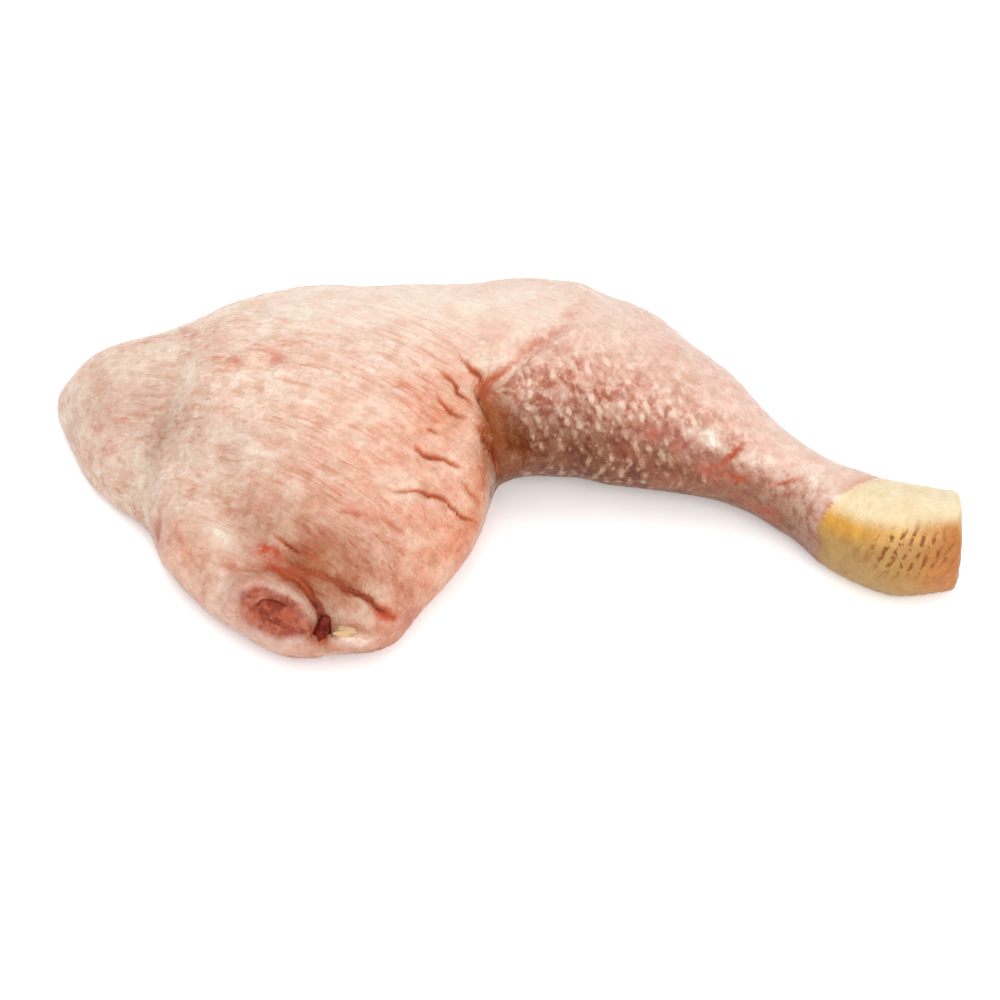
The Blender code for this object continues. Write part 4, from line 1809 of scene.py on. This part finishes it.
    def _places(self, points: Array, shaped: Array, normals: Array) -> dict[Mask, Array]:
        """Works out where each kind of skin lies, and where the painted shade and highlights lie, from place
        and slope.

        Args:
            points: The plain loft's points, in mm.
            shaped: The same points with the bulges and folds.
            normals: The plain loft's outward directions.

        Returns:
            The masks by name.
        """
        x, y = points[..., 0], points[..., 1]
        shaken = shaped + 0.55 * self._shake(points)
        across, up, in_view = self._as_seen(shaken, normals)
        drum = self._drum_share(points)
        wobble = 1.4 * self.noise.at(points, 6.0) + 0.7 * self.noise.at(points, 2.0)
        hock = self._hock_share(x, y, wobble)
        drooping = -normals[..., 1] - 0.6 * normals[..., 2]
        # The side walls that face front and right, which get the orange, partly painted shade.
        facing = self.knee_side_turn.of(normals @ np.array(self.knee_side)) * self.knee_side_span.of(x)
        flesh = self.underside.of(-normals[..., 2]) * (1.0 - self.bare_end.of(x)) * self.bare_start.of(x)
        strength, side = self._nearest_lines(across, up)
        kinds = (hock > 0.5, drum > 0.5)
        shank = self.shank_span.of(x)
        # Painted shade: orange, partly own colour, on the side walls, grey on drooping slopes, and the low
        # shades of the drumstick and the hock.
        orange_shade_thigh = np.clip(self._spots(self.orange_shade_places, x, y) + 0.8 * facing, 0.0, 1.0)
        grey_shade_thigh = self._spots(self.grey_shade_places, x, y) + 0.45 * self.thigh_droop.of(drooping)
        orange_shade_hock = self.hock_tip.of(x + 2.0 * wobble) * self.hock_orange_shade_droop.of(drooping) * 0.9
        warm_shade_drum = self.drum_warm_shade_droop.of(drooping) * (1.0 - 0.3 * shank)
        shade_drum = self.drum_shade_droop.of(drooping) * (1.0 - 0.1 * shank)
        warm_shade_hock = self.hock_warm_shade_droop.of(drooping) * (1.0 - 0.3 * self.hock_end.of(x))
        shade_hock = self.hock_shade_droop.of(drooping)
        return {
            Mask.DRUM: drum,
            Mask.HOCK: hock,
            Mask.WARM: np.select(kinds, (warm_shade_hock, warm_shade_drum), self._spots(self.warm_shade_places, x, y)),
            Mask.SHADE: np.select(kinds, (shade_hock, shade_drum), np.clip(grey_shade_thigh, 0.0, 1.0)),
            Mask.GLOW: np.select(kinds, (orange_shade_hock, shank), orange_shade_thigh),
            Mask.CALM: self._spots(self.calm_places, x, y),
            Mask.BLUSH: self._spots(self.blushes, across, up) * in_view,
            Mask.CREAM: self._spots(self.painted_highlights, across, up) * in_view,
            Mask.BROWN: self._spots(self.brown_shades, across, up) * in_view,
            Mask.LINE: strength * in_view,
            Mask.SIDE: side,
            Mask.FLESH: np.maximum(flesh, self._spots(self.raw_places, across, up) * in_view),
            Mask.HOLLOW: self._spots(self.tick_places, across, up) * in_view,
        }

    def _drum_share(self, points: Array) -> Array:
        """Works out where the drumstick's dotted skin lies: past the knee's edge, which is soft on top.

        Args:
            points: The plain loft's points, in mm.

        Returns:
            The skin's share, from 0 to 1.
        """
        x, y = points[..., 0], points[..., 1]
        edge_y, edge_x = np.asarray(self.knee_edge).T
        past_edge = 0.72 * (x - np.interp(y, edge_y, edge_x)) + 0.6 * self.noise.at(points, 4.0)
        softness = 1.4 + 7.0 * self.knee_softness.of(y)
        return smooth_step(past_edge / softness, -0.4, 1.0) * self.knee_start.of(x)

    def _hock_share(self, x: Array, y: Array, wobble: Array) -> Array:
        """Works out where the hock's yellow skin lies: it starts later and softer towards the far side.

        Args:
            x: Places along the leg, in mm.
            y: Places across the plan, in mm.
            wobble: Small shifts of the start, in mm.

        Returns:
            The skin's share, from 0 to 1.
        """
        start = self.hock_start + self.hock_slope * np.clip(y + 41.0, 0.0, 13.0) + wobble
        softness = 1.1 + 6.0 * self.hock_softness.of(y)
        return smooth_step((x - start) / softness, -1.0, 1.0)

    def _nearest_lines(self, across: Array, up: Array) -> tuple[Array, Array]:
        """Finds the line that is strongest at each place.

        Args:
            across: Distance across the picture.
            up: Height in the picture.

        Returns:
            The line's strength, which fades over a few widths, and the signed distance from it in widths.
        """
        strength, side = np.zeros(across.shape), np.full(across.shape, self.line_reach)
        for line in self.lines:
            away, offset, depth = line.nearest(across, up)
            here = depth * np.exp(-((away / (self.line_reach * line.width)) ** 2))
            stronger = here > strength
            strength = np.where(stronger, here, strength)
            side = np.where(stronger, offset / line.width, side)
        return strength, side

    def _shake(self, points: Array) -> Array:
        """Works out small random shifts that make lines and spots irregular.

        Args:
            points: Places on the skin, in mm.

        Returns:
            The shifts, about -1 to 1 on every axis.
        """
        broad = [self.noise.at(points + 11.0 * (axis + 1), 3.2) for axis in range(3)]
        small = [self.noise.at(points - 7.0 * axis, 1.3) for axis in range(3)]
        return np.stack(broad, axis=-1) + 0.6 * np.stack(small, axis=-1)

    def _as_seen(self, points: Array, normals: Array) -> tuple[Array, Array, Array]:
        """Places in the photograph's picture.

        Args:
            points: Points of the plan, in mm.
            normals: Their outward directions.

        Returns:
            The distances across and up the picture, and 1 where the skin faces the camera.
        """
        facing = self.in_sight.of(normals @ self.view.towards())
        return *self.view.picture(points - np.array([*self.form.centre, 0.0])), facing

    def _spots(self, spots: tuple[Bulge | Fold, ...], x: Array, y: Array) -> Array:
        """Adds soft spots and stripes up.

        Args:
            spots: The spots and stripes.
            x: Where they are read, across.
            y: Where they are read, upwards.

        Returns:
            Their sum, kept from 0 to 1.
        """
        return np.clip(sum(spot.relief(x, y) for spot in spots), 0.0, 1.0)

    def _fine_relief(self, points: Array, normals: Array, across: Array, masks: dict[Mask, Array]) -> Array:
        """Works out the fine relief: lumps, streaks, wrinkles, follicles and scales.

        It also keeps as masks the painted highlights on the tops of the drumstick's dots and the painted
        shadows on their lower sides.

        Args:
            points: The plain loft's points, in mm.
            normals: Their outward directions.
            across: Distance round each ring, in mm.
            masks: Where each kind of skin lies, which this adds to.

        Returns:
            The relief in mm.
        """
        x, y = points[..., 0], points[..., 1]
        drum, hock = masks[Mask.DRUM], masks[Mask.HOCK]
        thigh = 1.0 - drum
        flow = self._flow(points)
        relief = 0.5 * self.noise.at(points, 17.0) * (0.4 + 0.6 * thigh)
        relief += 0.26 * self.noise.at(points + 40.0, 6.5)
        strong = 0.6 + 0.4 * self.noise.at(points + 90.0, 22.0)
        strong *= 0.35 + 0.65 * self.past_hip.of(x)
        strong *= 1.0 - 0.75 * masks[Mask.CALM]
        grooves = self.noise.ridges(flow, self.groove_sizes) ** 4
        wrinkles = self.noise.ridges(flow + 50.0, self.wrinkle_sizes) ** 4
        relief -= (self.groove_depth * grooves + self.wrinkle_depth * wrinkles) * thigh * strong
        relief -= self.line_depth * masks[Mask.LINE] * np.exp(-(masks[Mask.SIDE] ** 2))
        relief += self._knee_fan(x, y) * thigh

        spread = self.dots_start.of(x) * (1.0 - self.dots_end.of(x))
        strength = drum * spread * (0.25 + 0.75 * masks[Mask.WARM])
        raised = strength * self.dots_turn.of(normals[..., 2])
        along = x * 1.12 + 0.22 * across + 0.7 * self.noise.at(points, 7.0) + 0.5 * self.noise.at(points, 2.2)
        round_it = across + 0.7 * self.noise.at(points + 30.0, 7.0) + 0.5 * self.noise.at(points + 60.0, 2.2)
        grit_along = along * 1.03
        dots = self.follicles.heights(along, round_it)
        above = self.follicles.heights(along, round_it - self.tip_shift)
        below = self.follicles.heights(along, round_it + self.tip_shift)
        relief += self.follicle_height * dots * raised
        relief += self.grit_height * self.grit.heights(grit_along, round_it) * raised
        relief += self.goose_bump_height * self.goose_bumps.heights(flow[..., 0], across) * thigh

        wavy = x - 0.45 * points[..., 2] + 0.8 * self.noise.at(points, 5.0) + 0.4 * self.noise.at(points, 1.6)
        seams = (0.5 + 0.5 * np.cos(2.0 * math.pi * wavy / self.scale_pitch)) ** 2
        seams *= self.seam_breaks.of(self.noise.at(points + 20.0, 2.4))
        relief -= self.seam_depth * seams * hock * (0.3 + 0.7 * masks[Mask.WARM])
        relief += self.hock_rise * (1.0 - hock) * self.hock_rise_span.of(x)
        # Painted shadow below each dot and painted highlight on its upper side.
        dot_shadows = (below - above) * 1.6 + 0.6 * (1.0 - dots)
        uneven = 0.86 + 0.4 * self.noise.at(points + 15.0, 4.6)
        small_lit_tips = 0.7 * self.grit.heights(grit_along, round_it - self.tip_shift)
        lit_tips = np.maximum(above * 1.3 * uneven, small_lit_tips)
        masks[Mask.CREST] = np.clip(lit_tips * strength, 0.0, 1.0)
        masks[Mask.HOLLOW] = np.where(hock > 0.5, masks[Mask.HOLLOW], dot_shadows * strength).clip(0.0, 1.0)
        return relief

    def _knee_fan(self, x: Array, y: Array) -> Array:
        """Fine wrinkles that fan out from the crook of the knee over the thigh.

        They are the troughs of a noise read by angle round the crook, within a band of distances.

        Args:
            x: Places along the leg, in mm.
            y: Places across the plan, in mm.

        Returns:
            The relief in mm.
        """
        dx, dy = x - self.fan_centre[0], y - self.fan_centre[1]
        away = np.hypot(dx, dy)
        turn = np.arctan2(dy, -dx)
        place = np.stack([turn * self.fan_turn, away, np.zeros_like(away)], axis=-1)
        band = self.fan_inside.of(away) * (1.0 - self.fan_outside.of(away))
        return -self.fan_depth * self.noise.ridges(place, self.fan_sizes) ** 3 * band * (dx < 0.0)

    def _with_cut_face(self, rings: Array, values: dict[str, Array], material: Material) -> Piece:
        """Closes the skin over the hock's cut with rings that draw in, and adds the piece.

        Args:
            rings: The skin's rings, in mm.
            values: Values for the finish by name.
            material: The skin's material.

        Returns:
            The skin's object.
        """
        shares, stand_offs = np.asarray(self.cut_rings).T
        inner = np.linspace(1.0, shares[-1], self.cut_face_rings)[1:]
        lift = np.interp(-inner, -shares, stand_offs)
        middle = rings[-1].mean(axis=0)
        face = middle + (rings[-1] - middle) * inner[:, None, None]
        face[..., 0] += lift[:, None]
        face[..., 0] += 0.15 * self.noise.at(face, 2.5) * smooth_step(1.0 - inner, 0.04, 0.15)[:, None]
        kept = {}
        for name, value in values.items():
            kept[name] = np.concatenate([value, np.repeat(value[-1:], len(inner), axis=0)])
        bare = np.broadcast_to(smooth_step(1.0 - inner, 0.05, 0.11)[:, None], face.shape[:2])
        kept[Mask.FLESH.value] = np.concatenate([values[Mask.FLESH.value], bare])
        rings = np.concatenate([rings, face])
        return add_piece("leg_skin", [rings], self.form, material, kept)


LumpPlaces = tuple[tuple[float, float, Lump], ...]


@dataclass
class HipEnd:
    """The cut end of the hip: a rose knuckle in the skin's pale rim, dark muscle in the gap and fat."""

    form: LegForm
    knuckle: LumpPlaces = (
        (-58.2, -75.2, Lump((9.4, 4.0, 2.4), turn=-24.0, sink=3.85, unevenness=0.32, seed=21)),
    )
    muscle: LumpPlaces = (
        (-44.2, -81.4, Lump((2.4, 3.9, 2.0), turn=-28.0, sink=5.2, unevenness=0.2, seed=27)),
    )
    fat: LumpPlaces = (
        (-38.2, -80.8, Lump((3.0, 1.8, 1.5), turn=6.0, sink=-0.7, unevenness=0.3, seed=29)),
    )

    def build(self, knuckle: Material, meat: Material, fat: Material) -> list[Piece]:
        """Adds the knuckle, the muscle and the fat.

        Args:
            knuckle: Material of the knuckle.
            meat: Material of the muscle.
            fat: Material of the fat.

        Returns:
            The pieces.
        """
        pieces = []
        for name, lumps, slot, material in (
            ("hip_knuckle", self.knuckle, Slot.GRISTLE, knuckle),
            ("hip_muscle", self.muscle, Slot.MEAT, meat),
            ("hip_fat", self.fat, Slot.FAT, fat),
        ):
            forms = [self._lump(x, y, lump) for x, y, lump in lumps]
            pieces.append(add_piece(name, forms, self.form, material))
        return pieces

    def _lump(self, x: float, y: float, lump: Lump) -> Array:
        """Lays a lump on the skin.

        Args:
            x: Where it lies along the leg, in mm.
            y: Where it lies across the plan, in mm.
            lump: Its form.

        Returns:
            The lump's rings.
        """
        at_x = np.array([x])
        place, out, side = self.form.on_skin(at_x, self.form.angle_at(at_x, np.array([y])))
        along = unit(np.cross(side, out))
        return lump.rings(place[0], out[0], along[0])


@dataclass
class HockCut:
    """What the straight cut at the hock shows: the joint's gristle and the ends of tendons."""

    form: LegForm
    knuckles: LumpPlaces = (
        (-2.4, 1.6, Lump((6.6, 5.4, 2.0), turn=18.0, sink=0.9, unevenness=0.22, seed=31)),
        (3.0, -0.6, Lump((5.2, 5.6, 1.9), turn=-10.0, sink=1.0, unevenness=0.22, seed=32)),
    )
    tendons: LumpPlaces = (
        (-5.2, -7.0, Lump((2.2, 1.2, 1.2), turn=-40.0, sink=0.3, unevenness=0.2, seed=33)),
        (6.4, -7.0, Lump((0.9, 1.3, 1.2), turn=30.0, sink=0.3, unevenness=0.2, seed=34)),
        (8.6, 3.4, Lump((0.8, 1.5, 1.2), sink=0.3, unevenness=0.2, seed=35)),
        (3.4, 8.4, Lump((1.9, 0.8, 1.2), turn=-20.0, sink=0.3, unevenness=0.2, seed=36)),
    )
    depth: float = 1.2

    def build(self, gristle: Material, fat: Material) -> list[Piece]:
        """Adds the gristle and the tendons.

        Args:
            gristle: Material of the gristle.
            fat: Material of the tendon ends.

        Returns:
            The pieces.
        """
        size = self.form.outline(np.array([self.form.cut_x - self.form.cut_edge_round]))
        middle = np.array([self.form.cut_x - self.depth, size["crest"][0], size["widest"][0]])
        pieces = []
        for name, lumps, slot, material in (
            ("hock_gristle", self.knuckles, Slot.GRISTLE, gristle),
            ("hock_tendons", self.tendons, Slot.FAT, fat),
        ):
            out, side = np.array([1.0, 0.0, 0.0]), np.array([0.0, 1.0, 0.0])
            forms = [lump.rings(middle + np.array([0.0, y, z]), out, side) for y, z, lump in lumps]
            pieces.append(add_piece(name, forms, self.form, material))
        return pieces


@dataclass(frozen=True)
class Lamp:
    """A square light that faces the leg: where it hangs and how wide it is, in mm, and its watts."""

    name: str
    place: tuple[float, float, float]
    size: float
    power: float

    def add(self) -> None:
        """Adds the light to the scene."""
        light = bpy.data.lights.new(self.name, "AREA")
        light.size = self.size * MM
        light.energy = self.power
        lamp = bpy.data.objects.new(self.name, light)
        lamp.location = Vector(self.place) * MM
        lamp.rotation_euler = (-lamp.location).to_track_quat("-Z", "Y").to_euler()
        bpy.context.scene.collection.objects.link(lamp)


@dataclass
class Studio:
    """White floor, soft light from above and behind, and the camera at the photograph's angle."""

    view: Viewpoint = Viewpoint()
    sensor: float = 36.0
    floor_size: float = 8000.0
    floor_colour: Colour = (0.98, 0.98, 0.98, 1.0)
    floor_cloud: Colour = (0.99, 0.99, 0.99, 1.0)
    floor_clouds: Clouds = Clouds(1.5, 0.5, 1.0)
    floor_roughness: float = 0.9
    surroundings: float = 1.25
    sight: float = 100.0
    lamps: tuple[Lamp, ...] = (
        Lamp("key_light", (-150.0, 550.0, 1200.0), 900.0, 6.0),
        Lamp("fill_light", (300.0, -1200.0, 800.0), 1200.0, 17.5),
    )

    def build(self) -> None:
        """Adds the floor, the lights, the surroundings and the camera."""
        self._floor()
        self._surroundings()
        for lamp in self.lamps:
            lamp.add()
        self._camera()
        bpy.context.scene.view_settings.view_transform = "Standard"

    def _floor(self) -> None:
        """Adds a white floor with a faint cloud in its colour."""
        half = 0.5 * self.floor_size * MM
        mesh = bpy.data.meshes.new("floor")
        corners = [(-half, -half, 0.0), (half, -half, 0.0), (half, half, 0.0), (-half, half, 0.0)]
        mesh.from_pydata(corners, [], [(0, 1, 2, 3)])
        material = bpy.data.materials.new("floor")
        material.use_nodes = True
        shader = material.node_tree.nodes["Principled BSDF"]
        wiring = Wiring(material.node_tree)
        place = wiring.node("ShaderNodeTexCoord").outputs["Object"]
        cloud = self.floor_clouds.on(wiring, place)
        wiring.feed(shader.inputs["Base Color"], wiring.mix(cloud, self.floor_colour, self.floor_cloud))
        wiring.feed(shader.inputs["Roughness"], self.floor_roughness)
        mesh.materials.append(material)
        floor = bpy.data.objects.new("floor", mesh)
        bpy.context.scene.collection.objects.link(floor)
        floor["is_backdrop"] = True

    def _surroundings(self) -> None:
        """Adds even white light from all round."""
        world = bpy.data.worlds.new("surroundings")
        world.use_nodes = True
        background = world.node_tree.nodes["Background"]
        background.inputs["Color"].default_value = (1.0, 1.0, 1.0, 1.0)
        background.inputs["Strength"].default_value = self.surroundings
        bpy.context.scene.world = world

    def _camera(self) -> None:
        """Adds the camera: its lens makes a millimetre at the leg as many pixels as in the photograph."""
        camera = bpy.data.cameras.new("camera")
        camera.sensor_width = self.sensor
        camera.lens = self.sensor * self.view.distance * self.view.pixels_per_mm / self.view.photo_width
        camera.clip_end = self.sight
        stand = bpy.data.objects.new("camera", camera)
        stand.location = Vector(self.view.target + self.view.distance * self.view.towards()) * MM
        upright = Euler((math.radians(90.0 - self.view.elevation), 0.0, 0.0)).to_matrix()
        stand.rotation_euler = (upright @ Matrix.Rotation(math.radians(self.view.roll), 3, "Z")).to_euler()
        bpy.context.scene.collection.objects.link(stand)
        bpy.context.scene.camera = stand


def box_lists(bounds: object) -> list[list[float]]:
    """Turns a box's two corners into plain lists of numbers."""
    return [[float(value) for value in corner] for corner in bounds]


def main() -> None:
    """Builds the leg quarter and the studio."""
    logging.basicConfig(level=logging.INFO, format="%(name)s: %(message)s")
    cad_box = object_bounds()
    form = LegForm(limits=tuple(box_lists(cad_box)))
    fat = FAT.material()
    pieces = [LegSkin(form).build(SKIN.material())]
    pieces += HipEnd(form).build(KNUCKLE.material(), MEAT.material(), fat)
    pieces += HockCut(form).build(GRISTLE.material(), fat)
    for piece in pieces:
        log.info("%s has %d faces", piece.name, len(piece.data.polygons))
    Studio().build()
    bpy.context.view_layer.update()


if __name__ == "__main__":
    main()
